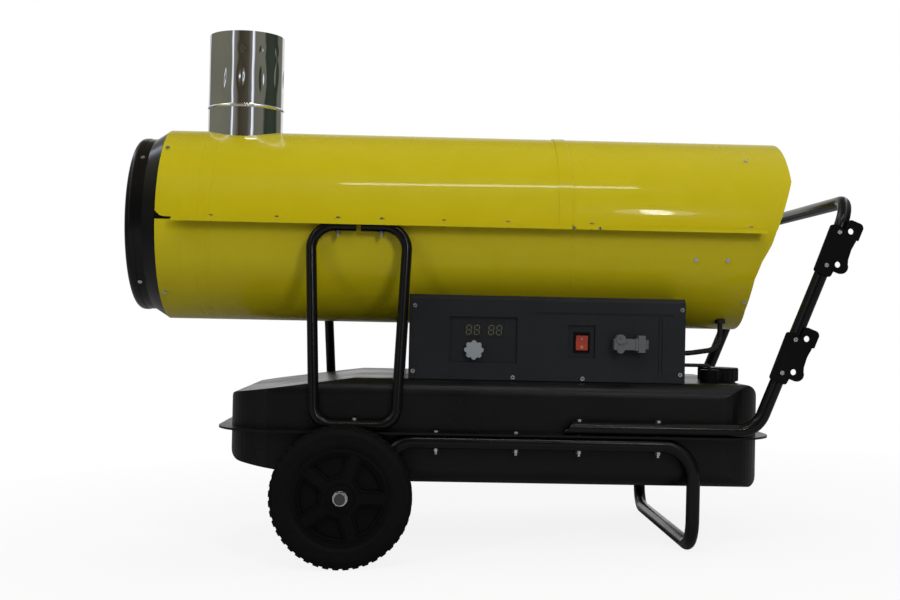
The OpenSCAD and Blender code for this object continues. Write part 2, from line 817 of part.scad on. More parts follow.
module suction_hose() {
  color([0.08, 0.08, 0.08]) stand() {
    bent([[hose_x, hose_y, filter_z + 42], [hose_x, hose_y, hose_run_z], [riser_x, hose_y, hose_run_z],
      [riser_x, hose_y, 12],
      [riser_x, pump_half + 10.2, 12]], hose_r, hose_r - 2, [28, 28, 16]);
  }
}

module fuel_filter() {
  color([0.75, 0.75, 0.7]) stand() translate([hose_x, hose_y, 0]) {
    translate([0, 0, filter_z]) cylinder(r = 9, h = 8);
    translate([0, 0, filter_z + 7.8]) cylinder(r = 17, h = 28);
    translate([0, 0, filter_z + 35.6]) cylinder(r = 9, h = 6.2);
    translate([0, 0, filter_z + 38]) cylinder(r = 4 - fine, h = 16);
  }
}

module suction_pipe() {
  color([0.7, 0.6, 0.3]) stand() translate([hose_x, hose_y, 0]) {
    translate([0, 0, tank_bottom + 12]) cylinder(r = 4, h = tank_top - tank_bottom - 10);
    translate([0, 0, tank_top]) cylinder(r = 14, h = 5, $fn = 6);
    translate([0, 0, tank_top + 4.8]) cylinder(r = 8, h = 8.2);
  }
}

module level_sender() {
  color([0.12, 0.12, 0.13]) stand() translate([sender_at[0], sender_at[1], 0]) {
    translate([0, 0, tank_top]) cylinder(r = 18, h = sender_top - tank_top);
    translate([0, 0, tank_bottom + 20]) cylinder(r = 3, h = tank_top - tank_bottom - 10);
    translate([0, 0, tank_bottom + 60]) cylinder(r = 12, h = 24);
  }
}

// Tank outlines: side views of both halves, the plan and the cross-sections
upper_side = [[tank_x1, part_z - 40], [tank_x2, part_z - 40], [tank_x2, tank_top], [nose_x, tank_top],
  [tank_x1, nose_z]];
upper_side_r = [0, 0, 38, 60, 14];
lower_side_p = [[tank_x1, belly_z], [belly_x, tank_bottom], [tank_x2, tank_bottom], [tank_x2, part_z + 40],
  [tank_x1, part_z + 40]];
lower_side_r = [26, 80, 30, 0, 0];
plan_p = [[tank_x1, -tank_half], [tank_x2, -tank_half], [tank_x2, tank_half], [tank_x1, tank_half]];
plan_r = [for (k = [0:3]) tank_corner];
cross_up = [[-tank_half, part_z - 40], [tank_half, part_z - 40], [tank_half, tank_top],
  [-tank_half, tank_top]];
cross_low = [[-tank_half, tank_bottom], [tank_half, tank_bottom], [tank_half, part_z + 40],
  [-tank_half, part_z + 40]];
tank_arc = 12;

// Solid between a side view, a plan and a cross-section, shrunk by d
module tank_form(side, side_r, cross, cross_r, d) {
  intersection() {
    rotate([90, 0, 0]) linear_extrude(height = 2 * tank_half + 20, center = true)
      polygon(shell_line(side, side_r, d, tank_arc));
    translate([0, 0, tank_bottom - 20]) linear_extrude(height = tank_top - tank_bottom + 40)
      polygon(shell_line(plan_p, plan_r, d, tank_arc));
    rotate([90, 0, 90]) linear_extrude(height = tank_x2 + 100)
      polygon(shell_line(cross, cross_r, d, tank_arc));
  }
}

// Flange plate of one tank half
module rim_plate(z1, z2) {
  translate([0, 0, z1]) linear_extrude(height = z2 - z1)
    polygon(rounded([[tank_x1 - rim_front, -rim_half], [tank_x2 + rim_rear, -rim_half],
      [tank_x2 + rim_rear, rim_half], [tank_x1 - rim_front, rim_half]], [for (k = [0:3]) rim_corner], 16));
}

// Holes for the frame bolts down through the tank flange
module rim_holes() {
  both_sides() for (x = concat(rim_bolts, handle_bolts, [hoop_low_bolt]))
    translate([x, -frame_y, part_z - 60]) cylinder(r = bolt_hole, h = 110);
}

module tank_upper() {
  color([0.05, 0.05, 0.055]) stand() difference() {
    union() {
      intersection() {
        tank_form(upper_side, upper_side_r, cross_up, [0, 0, tank_edge, tank_edge], 0);
        block([0, -tank_half - 10, part_z], [tank_x2 + 10, tank_half + 10, tank_top + 10]);
      }
      rim_plate(part_z, rim_over);
      translate([filler_x, filler_y, tank_top - 12]) cylinder(r = neck_r, h = neck_top - tank_top + 12);
      for (k = [1:3]) translate([filler_x, filler_y, neck_top - 1 - k * cap_pitch])
        cylinder(r = neck_r + 0.3, h = cap_pitch / 2);
    }
    tank_form(upper_side, upper_side_r, cross_up, [0, 0, tank_edge, tank_edge], tank_wall);
    translate([filler_x, filler_y, tank_top - 30]) cylinder(r = neck_r - 7, h = 60);
    translate([hose_x, hose_y, tank_top - 10]) cylinder(r = 4 + fit, h = 20);
    translate([sender_at[0], sender_at[1], tank_top - 10]) cylinder(r = 3 + fit, h = 20);
    rim_holes();
  }
}

module tank_lower() {
  color([0.05, 0.05, 0.055]) stand() difference() {
    union() {
      intersection() {
        tank_form(lower_side_p, lower_side_r, cross_low, [tank_edge, tank_edge, 0, 0], 0);
        block([0, -tank_half - 10, tank_bottom - 10], [tank_x2 + 10, tank_half + 10, part_z]);
      }
      rim_plate(rim_under, part_z);
    }
    tank_form(lower_side_p, lower_side_r, cross_low, [tank_edge, tank_edge, 0, 0], tank_wall);
    translate([drain_x, 0, tank_bottom - 5]) cylinder(r = drain_r + 0.1, h = 20);
    rim_holes();
  }
}

module filler_strainer() {
  color([0.6, 0.6, 0.55]) stand() translate([filler_x, filler_y, 0]) difference() {
    union() {
      translate([0, 0, neck_top - 70]) cylinder(r = neck_r - 7 - fit, h = 70);
      translate([0, 0, neck_top]) cylinder(r = neck_r - 1, h = 1);
    }
    translate([0, 0, neck_top - 69]) cylinder(r = neck_r - 8.3, h = 80);
  }
}

module cap_gasket() {
  color([0.1, 0.1, 0.1]) stand() translate([filler_x, filler_y, neck_top + 1]) difference() {
    cylinder(r = neck_r - 0.5, h = 2);
    translate([0, 0, -1]) cylinder(r = neck_r - 7, h = 4);
  }
}

module fuel_cap() {
  top = neck_top + 3;
  color([0.05, 0.05, 0.055]) stand() translate([filler_x, filler_y, 0]) difference() {
    union() {
      translate([0, 0, top - 20]) cylinder(r = cap_r, h = 26);
      for (k = [0:19]) rotate([0, 0, k * 18]) translate([cap_r - 0.3, 0, top - 19])
        cylinder(r = 1.8, h = 24, $fn = 16);
    }
    translate([0, 0, top - 21]) cylinder(r = neck_r + 0.6, h = 21);
  }
}

module drain_plug() {
  color([0.7, 0.7, 0.72]) stand() translate([drain_x, 0, 0]) {
    translate([0, 0, tank_bottom - 9]) cylinder(r = drain_r + 4, h = 8.8, $fn = 6);
    translate([0, 0, tank_bottom - 0.4]) cylinder(r = drain_r, h = 10);
  }
}

// Clearance holes of the frame bolts in a tube at the given positions
module tube_holes(xs, z) {
  both_sides() for (x = xs) translate([x, -frame_y, z - 30]) cylinder(r = bolt_hole, h = 60);
}

module foot_tube() {
  run = foot_run_z;
  color([0.05, 0.05, 0.055]) stand() difference() {
    union() {
      bent([[axle_x + 5, -frame_y, axle_z + 5], [foot_knee_x, -frame_y, run], [foot_x + 1, -frame_y, run],
        [foot_x, -frame_y, foot_z], [foot_x, frame_y, foot_z], [foot_x + 1, frame_y, run],
        [foot_knee_x, frame_y, run], [axle_x + 5, frame_y, axle_z + 5]],
        tube_r, tube_r - tube_wall, [50, 60, 50, 50, 60, 50]);
      translate([axle_x, 0, axle_z]) rod_y(-sleeve_half, sleeve_half, sleeve_r);
    }
    translate([axle_x, 0, axle_z]) rod_y(-sleeve_half - 1, sleeve_half + 1, axle_r + 0.2);
    tube_holes(concat(rim_bolts, handle_bolts), run);
  }
}

module axle() {
  color([0.72, 0.73, 0.75]) stand() translate([axle_x, 0, axle_z])
    rod_y(-hub_y2 - washer_t - nut_t - 3.5, hub_y2 + washer_t + nut_t + 3.5, axle_r);
}

// Outline of one wheel pocket between two spokes, its middle on the first axis
pocket_r1 = 36;
pocket_r2 = rim_r - 9;
pocket_a1 = 180 / spokes - asin(spoke_half / pocket_r1);
pocket_a2 = 180 / spokes - asin(spoke_half / pocket_r2);
pocket_p = concat([pocket_r1 * [cos(pocket_a1), -sin(pocket_a1)]],
  [for (k = [-3:3]) pocket_r2 * [cos(k * pocket_a2 / 3), sin(k * pocket_a2 / 3)]],
  [pocket_r1 * [cos(pocket_a1), sin(pocket_a1)]]);
pocket_r = [6, 5, 0, 0, 0, 0, 0, 5, 6];

// Wheel on the control side, its face cut by stepped pockets; the other one is its mirror image
module wheel_form() {
  mid = (tyre_y1 + tyre_y2) / 2;
  face = tyre_y2 - 5;
  translate([axle_x, 0, axle_z]) difference() {
    union() {
      rod_y(-hub_y2, -hub_y1 - 0.5, 24);
      difference() {
        union() {
          tube_y(-tyre_y2 + 2, -tyre_y1 - 2, rim_r, rim_r - 6);
          rod_y(-face, -mid + 3, rim_r - 5);
        }
        rotate([90, 0, 0]) for (k = [0:spokes - 1]) rotate([0, 0, pocket_turn + k * 360 / spokes]) {
          translate([0, 0, face - pocket_steps[0]]) linear_extrude(height = pocket_steps[0] + 1)
            polygon(rounded(pocket_p, pocket_r, 4));
          translate([0, 0, face - pocket_steps[1]]) linear_extrude(height = pocket_steps[1])
            polygon(shell_line(pocket_p, pocket_r, 5, 4));
        }
      }
    }
    rod_y(-hub_y2 - 5, -hub_y1 + 5, axle_r + run_fit);
  }
}

module wheel_left() {
  color([0.05, 0.05, 0.05]) stand() wheel_form();
}

module wheel_right() {
  color([0.05, 0.05, 0.05]) stand() mirror([0, 1, 0]) wheel_form();
}

// One row of tread blocks as a toothed ring
module tread_row(y1, y2, turn) {
  pitch = 360 / tread_blocks;
  root = wheel_r - tread_h;
  rotate([90, 0, 0]) translate([0, 0, -y2]) rotate([0, 0, turn])
    linear_extrude(height = y2 - y1) difference() {
    polygon([for (k = [0:tread_blocks - 1])
      for (q = [[0.34, root], [0.28, wheel_r], [-0.28, wheel_r], [-0.34, root]])
      q[1] * [cos((k - q[0]) * pitch), sin((k - q[0]) * pitch)]]);
    circle(r = rim_r + 16);
  }
}

module tyre_form() {
  edge = wheel_r - tread_h - 0.5;
  translate([axle_x, 0, axle_z]) {
    rotate([90, 0, 0]) rotate_extrude() polygon([[rim_r + 0.2, tyre_y1 + 3], [rim_r + 8, tyre_y1],
      [edge - 12, tyre_y1], [edge - 3, tyre_y1 + 3], [edge, tyre_y1 + 10], [edge, tyre_y2 - 10],
      [edge - 3, tyre_y2 - 3], [edge - 12, tyre_y2], [rim_r + 8, tyre_y2], [rim_r + 0.2, tyre_y2 - 3]]);
    tread_row(-tyre_y2 + 5, -(tyre_y1 + tyre_y2) / 2, -90 - stand_tilt);
    tread_row(-(tyre_y1 + tyre_y2) / 2 - 0.2, -tyre_y1 - 5, -90 - stand_tilt + 180 / tread_blocks);
  }
}

module tyre_left() {
  color([0.035, 0.035, 0.035]) stand() tyre_form();
}

module tyre_right() {
  color([0.035, 0.035, 0.035]) stand() mirror([0, 1, 0]) tyre_form();
}

module axle_washers() {
  color([0.75, 0.76, 0.78]) stand() translate([axle_x, 0, axle_z]) both_sides() {
    tube_y(-hub_y2 - 0.2 - washer_t, -hub_y2 - 0.2, 13.5, axle_r + 0.2);
    tube_y(-hub_y1 - 0.2, -sleeve_half - 0.2, 15, axle_r + 0.2);
  }
}

module axle_nuts() {
  start = hub_y2 + washer_t + 0.3;
  color([0.75, 0.76, 0.78]) stand() translate([axle_x, 0, axle_z]) both_sides() difference() {
    translate([0, -start, 0]) rotate([90, 0, 0]) cylinder(r = 13, h = nut_t, $fn = 6);
    rod_y(-start - nut_t - 1, -start + 1, axle_r);
  }
}

// Open hoop on the control side: two legs, a low bar and a top bar whose ends almost meet
module hoop_form() {
  top = [-flange_screw_y, hoop_bar_z];
  low = [-frame_y, hoop_low_z];
  difference() {
    bent([[hoop_gap_x[0], top[0], top[1]], [hoop_top_x[0], top[0], top[1]], [hoop_foot_x[0], low[0], low[1]],
      [hoop_foot_x[1], low[0], low[1]], [hoop_top_x[1], top[0], top[1]], [hoop_gap_x[1], top[0], top[1]]],
      hoop_r, hoop_r - tube_wall, [44, 34, 34, 44]);
    for (x = hoop_top_bolts) translate([x, top[0], top[1] - 20]) cylinder(r = bolt_hole, h = 40);
    translate([hoop_low_bolt, low[0], low[1] - 20]) cylinder(r = bolt_hole, h = 40);
  }
}

module hoop_left() {
  color([0.05, 0.05, 0.055]) stand() hoop_form();
}

module hoop_right() {
  color([0.05, 0.05, 0.055]) stand() mirror([0, 1, 0]) hoop_form();
}

// Bolt down through a stack from its head seat z1 to its nut seat z2
module stack_bolt(x, y, z1, z2) {
  translate([x, y, 0]) {
    translate([0, 0, z1 + 0.1]) cylinder(r = 5.6, h = 4, $fn = 6);
    translate([0, 0, z2 - 10]) cylinder(r = bolt_r, h = z1 - z2 + 12);
    translate([0, 0, z2 - 5.1]) cylinder(r = 5.6, h = 5, $fn = 6);
  }
}

module frame_bolts() {
  under = foot_run_z - tube_r;
  color([0.75, 0.76, 0.78]) stand() both_sides() {
    for (x = rim_bolts) stack_bolt(x, -frame_y, rim_over, under);
    for (x = handle_bolts) stack_bolt(x, -frame_y, handle_run_z + tube_r, under);
    stack_bolt(hoop_low_bolt, -frame_y, hoop_low_z + hoop_r, rim_under);
    for (x = hoop_top_bolts) stack_bolt(x, -flange_screw_y, seam_z + sheet, hoop_bar_z - hoop_r);
  }
}

module handle() {
  color([0.05, 0.05, 0.055]) stand() difference() {
    bent([[handle_x1, -frame_y, handle_run_z], [handle_knee_x, -frame_y, handle_run_z],
      [handle_top_x, -frame_y, handle_top_z], [handle_top_x, frame_y, handle_top_z],
      [handle_knee_x, frame_y, handle_run_z], [handle_x1, frame_y, handle_run_z]],
      tube_r, tube_r - tube_wall, [50, 60, 60, 50]);
    tube_holes(handle_bolts, handle_run_z);
    both_sides() translate([handle_x1, -frame_y, handle_run_z - tube_r]) rotate([0, 35, 0])
      translate([-60, -20, -5]) cube([60, 40, 60]);
    translate([handle_knee_x, -frame_y, handle_run_z]) rotate([0, handle_lean, 0])
      for (z = hook_heights, q = hook_screws) translate([q[1], 0, z + q[0]])
        rod_y(-tube_r - 2, -tube_r + 6, small_r + 0.2);
  }
}

// Heights of the two hooks along the sloping leg
hook_heights = [leg_zero, leg_zero - lower_hook_drop];

// Flat hook plate with two ears, drawn along the leg on its outer side
module hook_form() {
  ear_out = ear_tip + [ear_r, ear_r];
  difference() {
    rotate([90, 0, 0]) linear_extrude(height = hook_t) difference() {
      union() {
        polygon(rounded([[-20, -91], [13, -91], [15, -74], [9, -3], [-6, 5], [-22, 0]],
          [5, 5, 0, 0, 5, 5], 5));
        polygon(rounded([[5, -9], [ear_out[0], -9], ear_out, [5, ear_out[1]]], [0, 0, ear_r, 7]));
        polygon([[6, -78], [26, -78], [37.4, -66], [31.5, -48], [30, -29], [32.5, -8], [6, -8]]);
        translate([24.5, -65]) circle(r = 13);
      }
      for (q = [ear_at, low_ear_at]) translate(q) circle(r = ear_hole_r);
    }
    for (q = hook_screws) translate([q[1], 0, q[0]]) rod_y(-8, 3, small_r + 0.2);
  }
}

// Places a hook on the near leg at height h along it
module on_leg(h) {
  translate([handle_knee_x, -frame_y, handle_run_z]) rotate([0, handle_lean, 0])
    translate([0, -tube_r - 0.1, h]) children();
}

module cord_hook_upper() {
  color([0.04, 0.04, 0.04]) stand() on_leg(hook_heights[0]) hook_form();
}

module cord_hook_lower() {
  color([0.04, 0.04, 0.04]) stand() on_leg(hook_heights[1]) hook_form();
}

// Cross-section of the console, shrunk by d, with its bevel on the control side
function console_line(d) = inset([[-console_half, tank_top], [console_half, tank_top],
  [console_half, console_top], [bevel_y, console_top], [-console_half, bevel_z]], d);

module console() {
  color([0.06, 0.06, 0.07]) stand() difference() {
    rotate([90, 0, 90]) translate([0, 0, console_x1]) linear_extrude(height = console_x2 - console_x1)
      difference() {
        polygon(console_line(0));
        circle(r = casing_r + saddle_fit);
      }
    rotate([90, 0, 90]) translate([0, 0, console_x1 + console_wall])
      linear_extrude(height = console_x2 - console_x1 - 2 * console_wall) difference() {
        polygon(console_line(console_wall));
        circle(r = casing_r + saddle_fit + console_wall);
      }
    block([console_x1 + 20, -console_half - 1, tank_top + 14],
      [console_x2 - 20, -console_half + 5, bevel_z - 4]);
    for (q = panel_screws) translate([q[0], 0, q[1]])
      rod_y(-console_half - 1, -console_half + 4, small_r + 0.2);
    for (q = lead_exits) translate([0, q[0], q[1]]) rod_x(console_x2 - 5, console_x2 + 5, q[2] + fit);
  }
}

// Lead exits in the console's right end: [y, z, radius of the bushing, of the lead]
lead_exits = [[-110, -237, 9, lead_r], [sender_at[1], -259, 7, thin_lead_r]];

module control_panel() {
  front = panel_y;
  t = panel_t - 0.1;
  slant = t * sqrt(2);
  color([0.07, 0.07, 0.08]) stand() difference() {
    union() {
      intersection() {
        rotate([90, 0, 90]) linear_extrude(height = console_x2 + 10) polygon([[front, tank_top],
          [front, console_top - console_bevel], [front + console_bevel, console_top],
          [front + console_bevel + slant, console_top], [front + t, console_top - console_bevel + t - slant],
          [front + t, tank_top]]);
        rotate([90, 0, 0]) translate([0, 0, console_half - 20]) linear_extrude(height = panel_t + 30)
          polygon(rounded([[console_x1, tank_top], [console_x2, tank_top], [console_x2, console_top],
            [console_x1, console_top]], [2, 2, 8, 5], 5));
      }
      block([tub_x[0] - tub_t, front + 1, tub_z[0] - tub_t],
        [tub_x[1] + tub_t, front + tub_d + tub_t, tub_z[1] + tub_t]);
      block([switch_x[0] - tub_t, front + 1, switch_z[0] - tub_t],
        [switch_x[1] + tub_t, front + tub_d + tub_t, switch_z[1] + tub_t]);
    }
    block([tub_x[0], front - 1, tub_z[0]], [tub_x[1], front + tub_d, tub_z[1]]);
    block([switch_x[0], front - 1, switch_z[0]], [switch_x[1], front + tub_d, switch_z[1]]);
    for (x = display_x) block([x - display_size[0] / 2 - fit, front, display_z - display_size[1] / 2 - fit],
      [x + display_size[0] / 2 + fit, front + 20, display_z + display_size[1] / 2 + fit]);
    translate([knob_x, 0, knob_z]) rod_y(front, front + 20, 4);
    block([rocker_at[0] - 13 - fit, front, rocker_at[1] - 17 - fit],
      [rocker_at[0] + 13 + fit, front + 20, rocker_at[1] + 17 + fit]);
    block([721, front - 1, groove_z[0]], [975, front + 1.8, groove_z[1]]);
    for (x = [946.5, 952.5]) block([x, front - 1, -274], [x + 2.5, front + 1.8, groove_z[0] + 1.5]);
    translate([socket_x + 7, 0, socket_z]) rod_y(front - 1, front + 20, 5.5 + fit);
    for (q = panel_screws) translate([q[0], 0, q[1]]) rod_y(front - 1, front + 5, small_r + 0.2);
  }
}

module cover_screws() {
  color([0.75, 0.76, 0.78]) stand() {
    for (q = panel_screws) translate([q[0], panel_y, q[1]]) {
      rod_y(-2, 0, 4);
      rod_y(-0.1, panel_t + 6, small_r);
    }
    for (h = hook_heights) on_leg(h) for (q = hook_screws) translate([q[1], -hook_t, q[0]]) {
      rod_y(-2.2, 0, 4);
      rod_y(-0.1, 10, small_r);
    }
  }
}

module led_displays() {
  w = display_size[0];
  h = display_size[1];
  face = panel_y + tub_d - 1;
  color([0.1, 0.09, 0.08]) stand() for (x = display_x) {
    block([x - w / 2, face, display_z - h / 2], [x + w / 2, face + 10, display_z + h / 2]);
    for (s = [-1, 1]) translate([x + s * w / 4, 0, display_z]) {
      for (k = [-1:1]) block([-4, face - 0.3, k * 8 - 0.9], [4, face + 0.1, k * 8 + 0.9]);
      for (i = [-1, 1], k = [-1, 1])
        block([i * 5 - 0.9, face - 0.3, k * 4 - 2.9], [i * 5 + 0.9, face + 0.1, k * 4 + 2.9]);
    }
  }
}

module display_board() {
  back = panel_y + tub_d + 9.1;
  color([0.1, 0.3, 0.15]) stand() difference() {
    union() {
      block([tub_x[0] + 2, back, tub_z[0] + 2], [tub_x[1] - 2, back + 1.6, tub_z[1] - 2]);
      for (x = [tub_x[0] + 8, tub_x[1] - 8], z = [tub_z[0] + 8, tub_z[1] - 8]) translate([x, 0, z])
        rod_y(panel_y + tub_d + tub_t + 0.1, back + 0.5, 3.5);
      block([knob_x - 9, back + 1, knob_z - 9], [knob_x + 9, back + 12, knob_z + 9]);
      block([tub_x[1] - 40, back + 1, tub_z[0] + 14], [tub_x[1] - 16, back + 10, tub_z[0] + 40]);
    }
    translate([knob_x, 0, knob_z]) rod_y(back - 2, back + 9, 3);
  }
}

module thermostat_knob() {
  start = panel_y + tub_d - 0.5;
  color([0.62, 0.64, 0.66]) stand() translate([knob_x, start, knob_z]) {
    rotate([90, 0, 0]) linear_extrude(height = 15) {
      circle(r = knob_r - 3.2);
      for (k = [0:7]) rotate([0, 0, k * 45]) translate([knob_r - 4.6, 0]) circle(r = 4.6);
    }
    rod_y(-1, 17, 3 - run_fit);
  }
}

module switch_housing() {
  back = panel_y + tub_d + tub_t;
  color([0.03, 0.03, 0.03]) stand() translate([rocker_at[0], 0, rocker_at[1]]) difference() {
    union() {
      block([-15.5, back - tub_t - 2, -19.5], [15.5, back - tub_t, 19.5]);
      block([-13, back - tub_t - 1, -17], [13, back + 18, 17]);
    }
    block([-11.6, back - 6, -15.2], [11.6, back + 6, 15.2]);
    translate([0, rocker_y, 0]) rod_x(-12.4, 12.4, rocker_pin_r + 0.2);
  }
}

module rocker() {
  color([0.75, 0.1, 0.05]) stand() translate([rocker_at[0], rocker_y, rocker_at[1]]) {
    rotate([rocker_tilt, 0, 0]) rotate([90, 0, 90]) translate([0, 0, -11]) linear_extrude(height = 22)
      polygon([[2.5, -5], [2.5, 5], [-2, 13.6], [-7.5, 13.6], [-5, 0], [-7.5, -13.6], [-2, -13.6]]);
    rod_x(-12.2, 12.2, rocker_pin_r);
  }
}

module thermostat_socket() {
  color([0.33, 0.33, 0.34]) stand() difference() {
    union() {
      block([socket_x, panel_y - 24, socket_z - 15.5], [socket_x + 13, panel_y - 0.1, socket_z + 16]);
      block([socket_x + 12, panel_y - 19, socket_z - 9], [socket_x + 19.5, panel_y - 0.1, socket_z + 8]);
      translate([socket_x + 7, 0, socket_z]) rod_y(panel_y - 1, panel_y + 12, 5.5);
    }
    for (z = [-7, 0, 7]) translate([0, panel_y - 15, socket_z + z]) rod_x(socket_x - 1, socket_x + 11, 2.3);
  }
}

// Plug body with a locking drum over and under it, a screw on its lever and three pins
module bridge_plug() {
  left = socket_x - plug_len;
  color([0.33, 0.33, 0.34]) stand() {
    block([left, panel_y - 25, socket_z - 11], [socket_x - 0.4, panel_y - 4.3, socket_z + 9.5]);
    translate([left + 12, 0, socket_z + 8.5]) rod_y(panel_y - 27, panel_y - 6, 9);
    translate([left + 12, 0, socket_z - 10.5]) rod_y(panel_y - 27, panel_y - 6, 7);
    translate([left + 11, 0, socket_z + 12]) rod_y(panel_y - 28.5, panel_y - 26.8, 2.4);
    translate([left + 25, 0, socket_z + 3]) rod_y(panel_y - 25.8, panel_y - 24.8, 1.8);
    block([socket_x - 5.4, panel_y - 26.5, socket_z - 12.5], [socket_x - 1.4, panel_y - 4.3, socket_z + 11]);
    for (z = [-7, 0, 7]) translate([0, panel_y - 15, socket_z + z]) rod_x(socket_x - 1, socket_x + 10, 2);
  }
}

module ignition_transformer() {
  z = tank_top + console_wall + 0.1;
  w = transformer_half[0];
  d = transformer_half[1];
  color([0.15, 0.15, 0.16]) stand() translate([transformer_at[0], transformer_at[1], z]) {
    block([-w, -d, 0], [w, d, transformer_h]);
    block([-w - 10, 10 - d, 0], [w + 10, d - 10, 3]);
    for (y = [-15, 15]) translate([0, y, transformer_h - 2]) cylinder(r = 7, h = 14);
  }
}

module motor_lead() {
  from = lead_exits[0];
  path = [[console_x2 - 30, from[0], from[1]], [console_x2 + 32, from[0], from[1]],
    [lead_at[0], lead_at[1], -casing_r - 39], [lead_at[0], lead_at[1], lead_z], [lead_at[0], lead_y, lead_z],
    [motor_x2 - 5.8, lead_y, lead_z]];
  color([0.04, 0.04, 0.04]) stand() bent(path, lead_r, 0, [60, 32, 12, 12]);
}

module sender_lead() {
  from = lead_exits[1];
  path = [[console_x2 - 30, from[0], from[1]], [sender_at[0], from[0], from[1]],
    [sender_at[0], from[0], sender_top + 0.1]];
  drop = from[1] - sender_top - 0.1;
  color([0.04, 0.04, 0.04]) stand() bent(path, thin_lead_r, 0, [0.85 * drop]);
}

module bushings() {
  color([0.03, 0.03, 0.03]) stand() {
    translate([console_x2, 0, 0]) for (q = lead_exits) translate([0, q[0], q[1]]) difference() {
      union() {
        rod_x(-4, 7, q[2]);
        rod_x(0.1, 3, q[2] + 3);
      }
      rod_x(-10, 10, q[3] + 0.1);
    }
    for (q = shell_holes) translate([q[0], q[1], -sqrt(casing_r * casing_r - q[1] * q[1]) - 6]) difference() {
      cylinder(r = q[2], h = 22);
      translate([0, 0, -5]) cylinder(r = q[3] + 0.1, h = 32);
    }
  }
}

outlet_ring();
lower_shell();
upper_front_shell();
upper_rear_shell();
casing_screws();
rear_grille();
flue_spigot();
heat_exchanger();
combustion_chamber();
front_stays();
exchanger_saddles();
blast_tube();
flame_disc();
nozzle_rod();
electrodes();
nozzle_line();
fan();
motor_shaft();
fan_motor();
motor_tray();
fuel_pump();
suction_hose();
fuel_filter();
suction_pipe();
level_sender();
tank_upper();
tank_lower();
filler_strainer();
cap_gasket();
fuel_cap();
drain_plug();
foot_tube();
axle();
wheel_left();
wheel_right();
tyre_left();
tyre_right();
axle_washers();
axle_nuts();
hoop_left();
hoop_right();
frame_bolts();
handle();
cord_hook_upper();
cord_hook_lower();
console();
control_panel();
cover_screws();
led_displays();
display_board();
thermostat_knob();
switch_housing();
rocker();
thermostat_socket();
bridge_plug();
ignition_transformer();
motor_lead();
sender_lead();
bushings();
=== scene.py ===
import json
import random
from math import cos, exp, pi, radians, sin

import bmesh
import bpy
from mathutils import Matrix, Vector


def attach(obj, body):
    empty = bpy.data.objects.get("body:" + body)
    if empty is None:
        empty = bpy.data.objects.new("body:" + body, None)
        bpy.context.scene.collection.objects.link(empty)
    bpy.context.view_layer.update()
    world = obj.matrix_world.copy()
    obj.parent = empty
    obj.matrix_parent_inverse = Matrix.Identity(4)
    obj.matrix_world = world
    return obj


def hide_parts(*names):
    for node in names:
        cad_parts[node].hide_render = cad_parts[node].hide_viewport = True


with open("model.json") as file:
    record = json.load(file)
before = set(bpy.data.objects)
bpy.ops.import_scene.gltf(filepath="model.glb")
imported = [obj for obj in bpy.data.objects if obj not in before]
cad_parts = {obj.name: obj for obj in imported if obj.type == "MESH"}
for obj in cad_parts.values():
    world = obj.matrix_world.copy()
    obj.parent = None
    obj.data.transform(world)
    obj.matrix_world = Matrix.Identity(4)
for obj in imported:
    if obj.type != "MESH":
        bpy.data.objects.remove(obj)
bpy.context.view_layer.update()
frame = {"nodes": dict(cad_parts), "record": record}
nodes = frame["nodes"]

# The casing's own frame: X along its axis from the outlet, Z = 0 on the axis, millimetres
TILT = radians(2.55606)
SHIFT = 619.188
LIFT = 644.824
TO_ROW = (
    Matrix.Diagonal((0.001, 0.001, 0.001, 1))
    @ Matrix.Translation((-SHIFT, 0, LIFT))
    @ Matrix.Rotation(TILT, 4, "Y")
)


def set_range(node, *numbers):
    """Fills a Map Range node: from these two numbers, to those two."""
    for key, number in zip(("From Min", "From Max", "To Min", "To Max"), numbers):
        node.inputs[key].default_value = number


def set_stops(ramp, stops):
    """Fills a colour ramp with (place, colour) stops."""
    while len(ramp.elements) < len(stops):
        ramp.elements.new(0.5)
    for element, (at, colour) in zip(ramp.elements, stops):
        element.position = at
        element.color = (*colour, 1)


